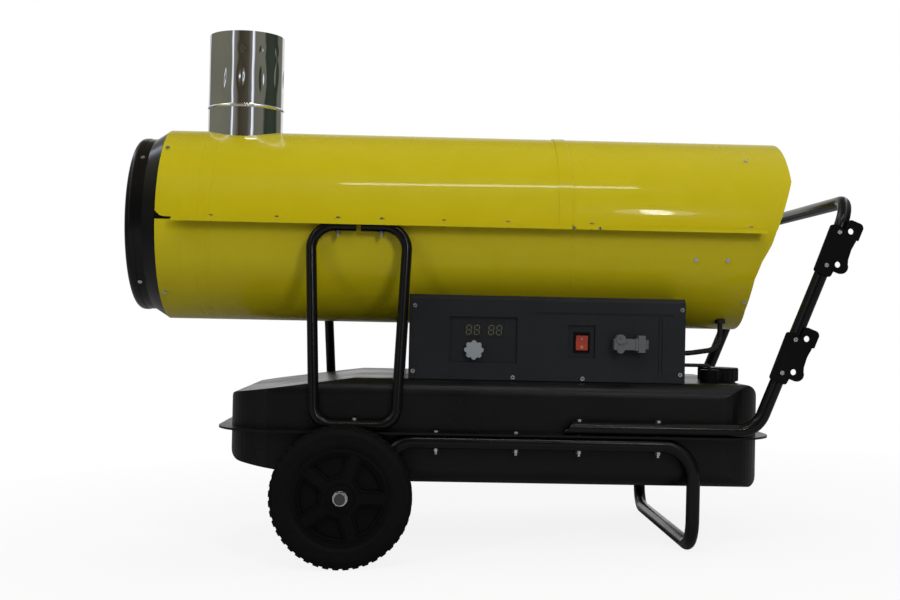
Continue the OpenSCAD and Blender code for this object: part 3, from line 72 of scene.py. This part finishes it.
class Shader:
    """A node material on the Principled shader, whose bumps are laid one over another."""

    def __init__(self, name):
        self.mat = bpy.data.materials.new(name)
        self.mat.use_nodes = True
        self.tree = self.mat.node_tree
        self.bsdf = self.tree.nodes["Principled BSDF"]
        self.place = self.add("ShaderNodeTexCoord").outputs["Object"]
        self.normal = None

    def add(self, kind, **values):
        """A new node; each value sets its attribute of that name, or else its input."""
        node = self.tree.nodes.new(kind)
        for key, value in values.items():
            if hasattr(node, key):
                setattr(node, key, value)
            else:
                node.inputs[key.replace("_", " ")].default_value = value
        return node

    def link(self, a, b):
        self.tree.links.new(a, b)

    def stretched(self, scale):
        """The object's coordinates, scaled by axis."""
        mapping = self.add("ShaderNodeMapping")
        mapping.inputs["Scale"].default_value = scale
        self.link(self.place, mapping.inputs["Vector"])
        return mapping.outputs["Vector"]

    def noise(self, scale, detail=3.0, rough=0.5, stretch=None):
        node = self.add("ShaderNodeTexNoise", Scale=scale, Detail=detail, Roughness=rough)
        self.link(self.stretched(stretch) if stretch else self.place, node.inputs["Vector"])
        return node.outputs["Fac"]

    def between(self, value, low, high, start=0.35, end=0.65):
        """Takes a value from its range start..end to low..high."""
        node = self.add("ShaderNodeMapRange")
        set_range(node, start, end, low, high)
        self.link(value, node.inputs["Value"])
        return node.outputs["Result"]

    def colours(self, value, stops, blend="LINEAR"):
        """Takes a value through a ramp of (place, colour) stops."""
        node = self.add("ShaderNodeValToRGB")
        node.color_ramp.interpolation = blend
        set_stops(node.color_ramp, stops)
        self.link(value, node.inputs["Fac"])
        return node.outputs["Color"]

    def bump(self, height, strength, distance):
        node = self.add("ShaderNodeBump", Strength=strength, Distance=distance)
        self.link(height, node.inputs["Height"])
        if self.normal:
            self.link(self.normal, node.inputs["Normal"])
        self.normal = node.outputs["Normal"]

    def finish(self, colour=None, rough=None, **numbers):
        """Links the outputs given, and sets overall numbers on the shader's own sockets."""
        for key, value in numbers.items():
            self.bsdf.inputs[key.replace("_", " ")].default_value = value
        if colour:
            self.link(colour, self.bsdf.inputs["Base Color"])
        if rough:
            self.link(rough, self.bsdf.inputs["Roughness"])
        if self.normal:
            self.link(self.normal, self.bsdf.inputs["Normal"])
        return self.mat


def tint(colour, factor):
    """The colour made darker or lighter."""
    return tuple(min(1.0, c * factor) for c in colour)


def plain(name, colour, vary=0.12, rough=(0.35, 0.5), grain=(600, 0.08), patch=7, **numbers):
    """A moulded or painted finish: patchy colour, patchy gloss and a fine grain."""
    s = Shader(name)
    broad = s.noise(patch, 4)
    s.bump(s.noise(grain[0], 2), grain[1], 0.0003)
    return s.finish(
        s.colours(broad, [(0.3, tint(colour, 1 - vary)), (0.7, tint(colour, 1 + vary))]),
        s.between(broad, *rough),
        **numbers,
    )


# Shallow creases round the rolled casing, by their distance from its front edge, and half of
# one's width as a share of the casing's length
CASING_LENGTH = 1160.0
CREASES = (48.0, 76.0, 99.0, 750.0, 789.0)
CREASE_HALF = 0.0022
CREASE_DEPTH = 0.0017
LEVEL, SUNK = (0.5, 0.5, 0.5), (0, 0, 0)


def yellow_paint():
    """Gloss enamel on thin rolled sheet: its slow waves, its creases and orange peel."""
    s = Shader("yellow_enamel")
    s.bump(s.noise(3.2, 2, 0.4, (1, 1.4, 1.4)), 0.16, 0.004)
    along = s.add("ShaderNodeVectorMath", operation="DOT_PRODUCT")
    along.inputs[1].default_value = (cos(TILT), 0, -sin(TILT))
    s.link(s.place, along.inputs[0])
    start = -(SHIFT * cos(TILT) + LIFT * sin(TILT)) / 1000
    stops = [(0.0, LEVEL)]
    for crease in CREASES:
        at = crease / CASING_LENGTH
        stops += [(at - CREASE_HALF, LEVEL), (at, SUNK), (at + CREASE_HALF, LEVEL)]
    spread = s.between(along.outputs["Value"], 0, 1, start, start + CASING_LENGTH / 1000)
    s.bump(s.colours(spread, stops, "EASE"), 1.0, CREASE_DEPTH)
    s.bump(s.noise(330, 2), 0.05, 0.0002)
    dust = s.noise(11, 5, 0.6)
    colour = s.colours(dust, [(0.3, (0.592, 0.49, 0.007)), (0.7, (0.618, 0.515, 0.009))])
    return s.finish(
        colour,
        s.between(dust, 0.22, 0.32),
        Specular_IOR_Level=0.08,
        Coat_Weight=0.3,
        Coat_Roughness=0.03,
    )


def mirror_steel():
    """Bright rolled stainless whose slow unevenness breaks up what it mirrors."""
    s = Shader("bright_stainless")
    s.bump(s.noise(17, 1.5, 0.4, (1, 1, 0.75)), 0.14, 0.006)
    s.bump(s.noise(55, 2, 0.5, (1, 1, 0.12)), 0.04, 0.001)
    return s.finish(
        s.colours(s.noise(9, 3), [(0.3, (0.66, 0.66, 0.64)), (0.7, (0.78, 0.78, 0.77))]),
        s.between(s.noise(30, 3), 0.025, 0.05),
        Metallic=1.0,
    )


def worn_metal(name, colour, rough=(0.2, 0.38), patch=60):
    """Plated or bare metal with patches of wear."""
    s = Shader(name)
    wear = s.noise(patch, 5, 0.6)
    s.bump(s.noise(patch * 12, 2), 0.08, 0.0002)
    return s.finish(
        s.colours(wear, [(0.3, tint(colour, 0.78)), (0.7, colour)]),
        s.between(wear, *rough),
        Metallic=1.0,
    )


def heat_metal():
    """Sheet steel stained by heat, in patches of soot, straw and blue grey."""
    s = Shader("heat_stained_steel")
    stain = s.noise(7, 5, 0.6)
    s.bump(s.noise(160, 3), 0.15, 0.0003)
    colour = s.colours(stain, [
        (0.3, (0.10, 0.09, 0.085)),
        (0.48, (0.24, 0.20, 0.16)),
        (0.6, (0.16, 0.16, 0.18)),
        (0.75, (0.3, 0.28, 0.25)),
    ])
    return s.finish(colour, s.between(stain, 0.4, 0.65), Metallic=0.85)


def tyre_rubber():
    """Black rubber with a grey bloom and a fine moulded grain."""
    s = Shader("tyre_rubber")
    bloom = s.noise(26, 6, 0.65)
    s.bump(s.noise(420, 3), 0.25, 0.0004)
    colour = s.colours(bloom, [(0.35, (0.0028, 0.0028, 0.003)), (0.75, (0.0055, 0.0055, 0.0055))])
    return s.finish(colour, s.between(bloom, 0.55, 0.75), Specular_IOR_Level=0.12)


LOOKS = {
    "yellow_paint": yellow_paint(),
    "black_paint": plain(
        "black_tube_paint", (0.0034, 0.0035, 0.0038),
        rough=(0.17, 0.26), grain=(500, 0.05), Specular_IOR_Level=0.28,
    ),
    "stainless": mirror_steel(),
    "zinc": worn_metal("zinc_plating", (0.74, 0.75, 0.75), rough=(0.16, 0.32), patch=240),
    "heat_steel": heat_metal(),
    "plain_steel": worn_metal(
        "galvanised_sheet", (0.42, 0.43, 0.44), rough=(0.35, 0.55), patch=30,
    ),
    "brass": worn_metal("turned_brass", (0.62, 0.45, 0.18)),
    "copper": worn_metal("drawn_copper", (0.66, 0.33, 0.18), patch=45),
    "ceramic": plain("glazed_ceramic", (0.78, 0.76, 0.70), vary=0.05, rough=(0.12, 0.2)),
    "cast": worn_metal("cast_aluminium", (0.5, 0.5, 0.51), rough=(0.4, 0.6), patch=90),
    "motor_paint": plain("motor_enamel", (0.10, 0.11, 0.12), rough=(0.35, 0.5)),
    "tank_plastic": plain(
        "tank_plastic", (0.0042, 0.0043, 0.0048),
        vary=0.2, rough=(0.27, 0.38), grain=(900, 0.16), patch=9, Specular_IOR_Level=0.24,
    ),
    "filter_plastic": plain("filter_bowl_plastic", (0.42, 0.42, 0.36), rough=(0.25, 0.35)),
    "black_plastic": plain(
        "moulded_black_plastic", (0.0042, 0.0042, 0.0045),
        vary=0.25, rough=(0.38, 0.52), grain=(700, 0.2), Specular_IOR_Level=0.08,
    ),
    "panel_plastic": plain(
        "panel_plastic", (0.0135, 0.0145, 0.0172),
        vary=0.1, rough=(0.3, 0.4), grain=(1100, 0.22), Specular_IOR_Level=0.28,
    ),
    "tyre_rubber": tyre_rubber(),
    "rubber": plain("black_rubber", (0.008, 0.008, 0.008), rough=(0.5, 0.65), grain=(500, 0.15)),
    "grey_plastic": plain(
        "grey_plastic", (0.27, 0.29, 0.31), vary=0.08, rough=(0.35, 0.5), grain=(900, 0.12),
    ),
    "red_plastic": plain(
        "red_rocker_plastic", (0.36, 0.045, 0.022),
        vary=0.1, rough=(0.2, 0.3), grain=(500, 0.03),
    ),
    "display": plain(
        "display_face", (0.02, 0.0205, 0.0165),
        vary=0.12, rough=(0.12, 0.18), grain=(300, 0.02), Specular_IOR_Level=0.3,
    ),
    "board": plain("circuit_board", (0.02, 0.10, 0.04), rough=(0.3, 0.45)),
}


def smooth(obj, angle=40):
    """Smooth shading, with edges sharper than the angle kept sharp."""
    obj.data.polygons.foreach_set("use_smooth", [True] * len(obj.data.polygons))
    obj.data.set_sharp_from_angle(angle=radians(angle))


SLOT = {s["node"]: s["material_slot"] for s in frame["record"]["subparts"]}
connector = plain(
    "grey_connector", (0.118, 0.12, 0.128),
    vary=0.08, rough=(0.38, 0.5), grain=(800, 0.15), Specular_IOR_Level=0.3,
)
# Nodes whose look differs from that of their slot
OWN = {
    "bridge_plug": connector,
    "thermostat_socket": connector,
    "axle": worn_metal("bare_steel", (0.13, 0.135, 0.15), rough=(0.3, 0.45)),
}

for name, node in nodes.items():
    node.data.materials.clear()
    node.data.materials.append(OWN.get(name, LOOKS[SLOT[name]]))
    smooth(node, 32)


def piece(name, bm, material, body="heater"):
    """Turns casing-frame millimetres into a named object that rides on a body."""
    mesh = bpy.data.meshes.new(name)
    bmesh.ops.recalc_face_normals(bm, faces=bm.faces)
    bm.to_mesh(mesh)
    bm.free()
    mesh.transform(TO_ROW)
    mesh.materials.append(material)
    obj = bpy.data.objects.new(name, mesh)
    bpy.context.scene.collection.objects.link(obj)
    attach(obj, body)
    return obj


def shell(bm, front, back):
    """Faces of a solid between two rings of as many corners."""
    bm.faces.new(front)
    bm.faces.new(back[::-1])
    for i in range(len(front)):
        j = (i + 1) % len(front)
        bm.faces.new((front[i], back[i], back[j], front[j]))


def prism(bm, outline, y_front, y_back):
    """Solid between two planes across Y from an outline in X and Z."""
    front = [bm.verts.new((x, y_front, z)) for x, z in outline]
    back = [bm.verts.new((x, y_back, z)) for x, z in outline]
    shell(bm, front, back)


def tube_wall(bm, radius_at, heights, wall, centre, steps=180):
    """Upright tube whose outer radius follows radius_at(height, angle)."""
    rings = []
    for inset, order in ((0, heights), (wall, heights[::-1])):
        for z in order:
            ring = []
            for k in range(steps):
                a = 2 * pi * k / steps
                r = radius_at(z, a) - inset
                ring.append(bm.verts.new((centre[0] + r * cos(a), centre[1] + r * sin(a), z)))
            rings.append(ring)
    for a, b in zip(rings, rings[1:] + rings[:1]):
        for k in range(steps):
            m = (k + 1) % steps
            bm.faces.new((a[k], a[m], b[m], b[k]))


# Flue spigot: rolled bead, and two rows of shallow dents pressed into the bright sheet
FLUE_X, FLUE_R, FLUE_WALL = 141.0, 75.0, 1.0
FLUE_LOW, FLUE_TOP, FLUE_STEP = 160.0, 382.0, 3
BEAD_Z, BEAD_REACH, BEAD_SPREAD, BEAD_STEP = 235.0, 1.8, 1.9, 0.8
# Each row of dents: height of their middles, their half height and their depth
DENT_ROWS = ((291, 23, 2.8), (349, 10, 1.7))
DENTS = 13
# The first dent's place and the second row's lead, in steps from dent to dent
DENT_START, DENT_LEAD = 0.81, 0.06
DENT_HALF_ANGLE = 0.058
dice = random.Random(7)
dents = []
for row, (height, tall, deep) in enumerate(DENT_ROWS):
    for k in range(DENTS):
        dents.append((
            2 * pi * (k + DENT_START + DENT_LEAD * row + dice.uniform(-0.1, 0.1)) / DENTS,
            height + dice.uniform(-9, 9),
            tall * dice.uniform(0.75, 1.25),
            DENT_HALF_ANGLE * dice.uniform(0.8, 1.3),
            deep * dice.uniform(0.5, 1.1),
            dice.uniform(-0.002, 0.002),
        ))


def flue_radius(z, a):
    """Outer radius at a height and an angle."""
    bead = BEAD_REACH * exp(-((z - BEAD_Z) / BEAD_SPREAD) ** 2)
    sunk = 0.0
    for at, height, tall, wide, deep, slant in dents:
        across = (a - at - slant * (z - height) + pi) % (2 * pi) - pi
        sunk += deep * exp(-(across / wide) ** 2 - ((z - height) / tall) ** 2)
    return FLUE_R + bead - sunk


flue_heights = sorted(
    [FLUE_LOW + FLUE_STEP * k for k in range(int((FLUE_TOP - FLUE_LOW) / FLUE_STEP) + 1)]
    + [BEAD_Z + BEAD_STEP * k for k in range(-6, 7)]
    + [FLUE_TOP]
)
flue = bmesh.new()
tube_wall(flue, flue_radius, flue_heights, FLUE_WALL, (FLUE_X, 0))
flue_piece = piece("flue_pipe", flue, LOOKS["stainless"])
smooth(flue_piece)
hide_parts("flue_spigot")

# Unlit segments of the two displays: middles of the displays, and of the digits from there
DISPLAY_X = (600.6, 642.2)
DISPLAY_Y = -220.3
DISPLAY_Z = -198.5
DIGIT_OFFSETS = (-7.4, 7.4)
DIGIT_W, DIGIT_H, DIGIT_LEAN = 9.0, 17.0, 0.08
BAR = 1.7
# How far a bar's point and its shoulder stop short of the corner of the digit
FLAT_POINT, FLAT_SHOULDER = 0.9, 1.8
POST_POINT, POST_SHOULDER = 0.7, 1.6
BAR_FRONT, BAR_BACK = DISPLAY_Y - 0.25, DISPLAY_Y + 0.2


def digit(bm, x0, z0):
    """Seven pointed bars, which lean over with height."""
    half = DIGIT_W / 2
    for k in (-1, 0, 1):
        z = z0 + k * DIGIT_H / 2
        x = x0 + DIGIT_LEAN * (z - z0)
        left, right = x - half, x + half
        prism(bm, [
            (left + FLAT_POINT, z),
            (left + FLAT_SHOULDER, z + BAR / 2),
            (right - FLAT_SHOULDER, z + BAR / 2),
            (right - FLAT_POINT, z),
            (right - FLAT_SHOULDER, z - BAR / 2),
            (left + FLAT_SHOULDER, z - BAR / 2),
        ], BAR_FRONT, BAR_BACK)
    for side in (-half, half):
        for low in (z0 - DIGIT_H / 2, z0):
            high = low + DIGIT_H / 2
            post = [
                (0, low + POST_POINT),
                (BAR / 2, low + POST_SHOULDER),
                (BAR / 2, high - POST_SHOULDER),
                (0, high - POST_POINT),
                (-BAR / 2, high - POST_SHOULDER),
                (-BAR / 2, low + POST_SHOULDER),
            ]
            prism(
                bm, [(x0 + side + dx + DIGIT_LEAN * (z - z0), z) for dx, z in post],
                BAR_FRONT, BAR_BACK,
            )


segments = bmesh.new()
for centre in DISPLAY_X:
    for offset in DIGIT_OFFSETS:
        digit(segments, centre + offset, DISPLAY_Z)
segment_look = plain(
    "unlit_segments", (0.105, 0.105, 0.086), vary=0.15, rough=(0.3, 0.4), grain=(900, 0.05),
)
piece("display_segments", segments, segment_look)

# ON and OFF marks on the rocker, laid on its tilted faces
ROCKER_X, ROCKER_Y, ROCKER_Z, ROCKER_TILT = 804.3, -217.0, -218.2, radians(7)
# The faces' reach at the rocker's middle, and what they gain over its half height
ROCKER_REACH, ROCKER_GAIN, ROCKER_HALF = 5.12, 2.5, 13.6
ON_HALF, ON_LOW, ON_HIGH = 0.45, 5.2, 9.6
OFF_MIDDLE, OFF_INNER, OFF_OUTER, OFF_STEPS = -7.6, 1.7, 2.5, 20


def on_rocker(dx, up):
    """Point on the rocker's faces, from their middle: to the right, and up."""
    y, z = -ROCKER_REACH - ROCKER_GAIN * abs(up) / ROCKER_HALF, up
    return (
        ROCKER_X + dx,
        ROCKER_Y + y * cos(ROCKER_TILT) - z * sin(ROCKER_TILT),
        ROCKER_Z + y * sin(ROCKER_TILT) + z * cos(ROCKER_TILT),
    )


def plate(bm, corners, thick=0.3):
    """Thin closed plate: corners face the viewer, the back lies deeper along Y."""
    front = [bm.verts.new(c) for c in corners]
    back = [bm.verts.new((x, y + thick, z)) for x, y, z in corners]
    shell(bm, front, back)


marks = bmesh.new()
plate(marks, [
    on_rocker(-ON_HALF, ON_LOW),
    on_rocker(ON_HALF, ON_LOW),
    on_rocker(ON_HALF, ON_HIGH),
    on_rocker(-ON_HALF, ON_HIGH),
])
for k in range(OFF_STEPS):
    a, b = 2 * pi * k / OFF_STEPS, 2 * pi * (k + 1) / OFF_STEPS
    plate(marks, [
        on_rocker(r * sin(t), OFF_MIDDLE + r * cos(t))
        for r, t in ((OFF_INNER, a), (OFF_INNER, b), (OFF_OUTER, b), (OFF_OUTER, a))
    ])

# Dark crosses laid flat on the heads of the console's cover screws, painted shade in place of
# their cross recesses: places and how far each is turned
SCREWS = (
    (492, -155, 12), (490, -277, 40), (991, -154, 70),
    (989, -275, 25), (676, -285.5, 5), (806, -285.5, 55),
)
SCREW_FACE_Y = -227.12
CROSS_HALF, CROSS_HALF_WIDTH, CROSS_DEPTH, CROSS_LIFT = 2.6, 0.55, 0.4, 0.06
crosses = bmesh.new()
for x, z, turn in SCREWS:
    # The second bar of a cross lies a hair in front of the first
    for quarter, lift in ((0, 0), (90, CROSS_LIFT)):
        a = radians(turn + quarter)
        along = Vector((cos(a), 0, sin(a))) * CROSS_HALF
        over = Vector((-sin(a), 0, cos(a))) * CROSS_HALF_WIDTH
        mid = Vector((x, SCREW_FACE_Y - lift, z))
        ends = [mid - along - over, mid + along - over, mid + along + over, mid - along + over]
        plate(crosses, ends, CROSS_DEPTH)
# Near-black look of the flat crosses: painted shade of the recesses' dark insides
painted_recess_shade_look = plain(
    "painted_shade_screw_recess", (0.02, 0.02, 0.02), vary=0.2, rough=(0.5, 0.6), grain=(900, 0.1),
)
piece("screw_crosses_painted_shade", crosses, painted_recess_shade_look)

mark_look = plain(
    "pale_marks", (0.5, 0.36, 0.32), vary=0.1, rough=(0.3, 0.4), grain=(900, 0.05),
)
piece("rocker_marks", marks, mark_look, "switch")

# Lamps: the ellipses and the strip show as the glints that the photograph has on the upper
# shell, and the others light without showing in gloss
MIDDLE = (0, 0, 0.6)
GLINT = (0.32, -0.19, 0.64)


def soft_box(name, place, target, size, power, shape="RECTANGLE"):
    """Area lamp at a place in metres, aimed at a target."""
    data = bpy.data.lights.new(name, "AREA")
    data.shape = shape
    data.size, data.size_y = size
    data.energy = power
    lamp = bpy.data.objects.new(name, data)
    bpy.context.scene.collection.objects.link(lamp)
    lamp.location = place
    lamp.rotation_euler = (Vector(target) - Vector(place)).to_track_quat("-Z", "Y").to_euler()
    return lamp


soft_box("spot_low", (1.2, -3.95, 2.29), GLINT, (0.44, 0.5), 3.5, "ELLIPSE")
soft_box("spot_core", (1.19, -3.9, 2.27), GLINT, (0.17, 0.46), 7.5, "ELLIPSE")
soft_box("strip", (0.31, -2.05, 3.2), (-0.015, -0.17, 0.69), (1.32, 0.14), 10)
for lamp in (
    soft_box("key", (-0.7, -2.6, 3.4), MIDDLE, (2.6, 1.4), 24),
    soft_box("top", (0.2, 0.5, 3.2), MIDDLE, (3.0, 1.6), 17),
    soft_box("window_left", (-2.7, -3.2, 2.1), MIDDLE, (0.4, 1.8), 17),
    soft_box("window_right", (1.72, -4.3, 2.1), MIDDLE, (0.6, 1.8), 46),
):
    lamp.visible_glossy = False

# World: white to the camera, a dim room for light, and its walls and windows in gloss
world = bpy.data.worlds.new("studio")
bpy.context.scene.world = world
world.use_nodes = True
tree = world.node_tree
tree.nodes.clear()


def world_node(kind, operation=None):
    node = tree.nodes.new("ShaderNode" + kind)
    if operation:
        node.operation = operation
    return node


def world_range(*numbers):
    node = world_node("MapRange")
    set_range(node, *numbers)
    return node


out = world_node("OutputWorld")
background = world_node("Background")
room = world_node("Background")
walls = world_node("Background")
lit = world_node("MixShader")
mix = world_node("MixShader")
path = world_node("LightPath")
place = world_node("TexCoord")
split = world_node("SeparateXYZ")
# By direction: the room brightens away from the viewer, the far side is white in gloss, the
# bands run from left to right, and the walls grow brighter upward
fade = world_range(-0.5, 0.6, 0.15, 0.6)
behind = world_range(0.75, 1, 0, 1)
across = world_range(-1, 1, 0, 1)
upward = world_range(0.35, 0.9, 1, 3)
bands = world_node("ValToRGB")
mirrored = world_node("Math", "MULTIPLY")
seen = world_node("Math", "MAXIMUM")
white = world_node("Math", "MAXIMUM")
background.inputs["Color"].default_value = (1, 1, 1, 1)

# Walls and two windows of the room, from left to right, as bright metal mirrors them
WALLS = (
    (0.0, (0.19, 0.19, 0.15)),
    (0.19, (0.17, 0.17, 0.135)),
    (0.2, (0.7, 0.76, 0.95)),
    (0.228, (1.3, 1.35, 1.5)),
    (0.24, (0.25, 0.25, 0.25)),
    (0.32, (0.15, 0.145, 0.12)),
    (0.38, (0.055, 0.045, 0.03)),
    (0.6, (0.085, 0.075, 0.055)),
    (0.69, (0.2, 0.2, 0.2)),
    (0.705, (1.3, 1.35, 1.5)),
    (0.745, (0.7, 0.76, 0.95)),
    (0.76, (0.17, 0.165, 0.135)),
    (0.93, (0.18, 0.18, 0.15)),
    (0.96, (0.03, 0.042, 0.032)),
    (1.0, (0.045, 0.055, 0.042)),
)
set_stops(bands.color_ramp, WALLS)
for a, b in (
    (place.outputs["Generated"], split.inputs[0]),
    (split.outputs["X"], across.inputs["Value"]),
    (across.outputs["Result"], bands.inputs["Fac"]),
    (bands.outputs["Color"], walls.inputs["Color"]),
    (split.outputs["Z"], upward.inputs["Value"]),
    (upward.outputs["Result"], walls.inputs["Strength"]),
    (split.outputs["Y"], fade.inputs["Value"]),
    (split.outputs["Y"], behind.inputs["Value"]),
    (path.outputs["Is Camera Ray"], seen.inputs[0]),
    (path.outputs["Is Transmission Ray"], seen.inputs[1]),
    (path.outputs["Is Glossy Ray"], mirrored.inputs[0]),
    (behind.outputs["Result"], mirrored.inputs[1]),
    (seen.outputs[0], white.inputs[0]),
    (mirrored.outputs[0], white.inputs[1]),
    (fade.outputs["Result"], room.inputs["Strength"]),
    (path.outputs["Is Glossy Ray"], lit.inputs["Fac"]),
    (room.outputs[0], lit.inputs[1]),
    (walls.outputs[0], lit.inputs[2]),
    (white.outputs[0], mix.inputs["Fac"]),
    (lit.outputs[0], mix.inputs[1]),
    (background.outputs[0], mix.inputs[2]),
    (mix.outputs[0], out.inputs["Surface"]),
):
    tree.links.new(a, b)

# Floor: white to the camera far off, and near the object part white, part lit, so that the
# object's shadow stays; light bounces off it as off a mid grey
FLOOR_HALF = 40
FLOOR_BOUNCE, FLOOR_SEEN = (0.45, 0.45, 0.45, 1), (1, 1, 1, 1)
NEAR_SHARE, FAR_SHARE, NEAR, FAR = 0.87, 1.0, 0.7, 1.9
floor_mesh = bpy.data.meshes.new("floor")
corners = [(FLOOR_HALF * x, FLOOR_HALF * y, 0) for x, y in ((-1, -1), (1, -1), (1, 1), (-1, 1))]
floor_mesh.from_pydata(corners, [], [(0, 1, 2, 3)])
floor = bpy.data.objects.new("floor", floor_mesh)
bpy.context.scene.collection.objects.link(floor)
floor_look = Shader("pale_floor")
floor_bsdf = floor_look.bsdf
floor_bsdf.inputs["Roughness"].default_value = 0.9
glow = floor_look.add("ShaderNodeEmission", Strength=1.0)
blend = floor_look.add("ShaderNodeMixShader")
rays = floor_look.add("ShaderNodeLightPath")
watched = floor_look.add("ShaderNodeMath", operation="MAXIMUM")
away = floor_look.add("ShaderNodeVectorMath", operation="LENGTH")
share = floor_look.add("ShaderNodeMath", operation="MULTIPLY")
tone = floor_look.add("ShaderNodeMixRGB")
tone.inputs["Color1"].default_value = FLOOR_BOUNCE
tone.inputs["Color2"].default_value = FLOOR_SEEN
spread = floor_look.between(away.outputs["Value"], NEAR_SHARE, FAR_SHARE, NEAR, FAR)
for a, b in (
    (rays.outputs["Is Camera Ray"], watched.inputs[0]),
    (rays.outputs["Is Transmission Ray"], watched.inputs[1]),
    (watched.outputs[0], tone.inputs["Fac"]),
    (tone.outputs["Color"], floor_bsdf.inputs["Base Color"]),
    (floor_look.place, away.inputs[0]),
    (watched.outputs[0], share.inputs[0]),
    (spread, share.inputs[1]),
    (share.outputs[0], blend.inputs["Fac"]),
    (floor_bsdf.outputs[0], blend.inputs[1]),
    (glow.outputs[0], blend.inputs[2]),
    (blend.outputs[0], floor_look.tree.nodes["Material Output"].inputs["Surface"]),
):
    floor_look.link(a, b)
floor_mesh.materials.append(floor_look.mat)

# Camera at the photograph's angle
camera_data = bpy.data.cameras.new("camera")
camera_data.sensor_width = 36
camera_data.lens = 50.08
camera = bpy.data.objects.new("camera", camera_data)
bpy.context.scene.collection.objects.link(camera)
camera.location = (-0.14044, -2.55, 0.44698)
camera.rotation_euler = (radians(90.717), radians(1.379), radians(-1.7294))
bpy.context.scene.camera = camera

bpy.context.scene.view_settings.view_transform = "Standard"
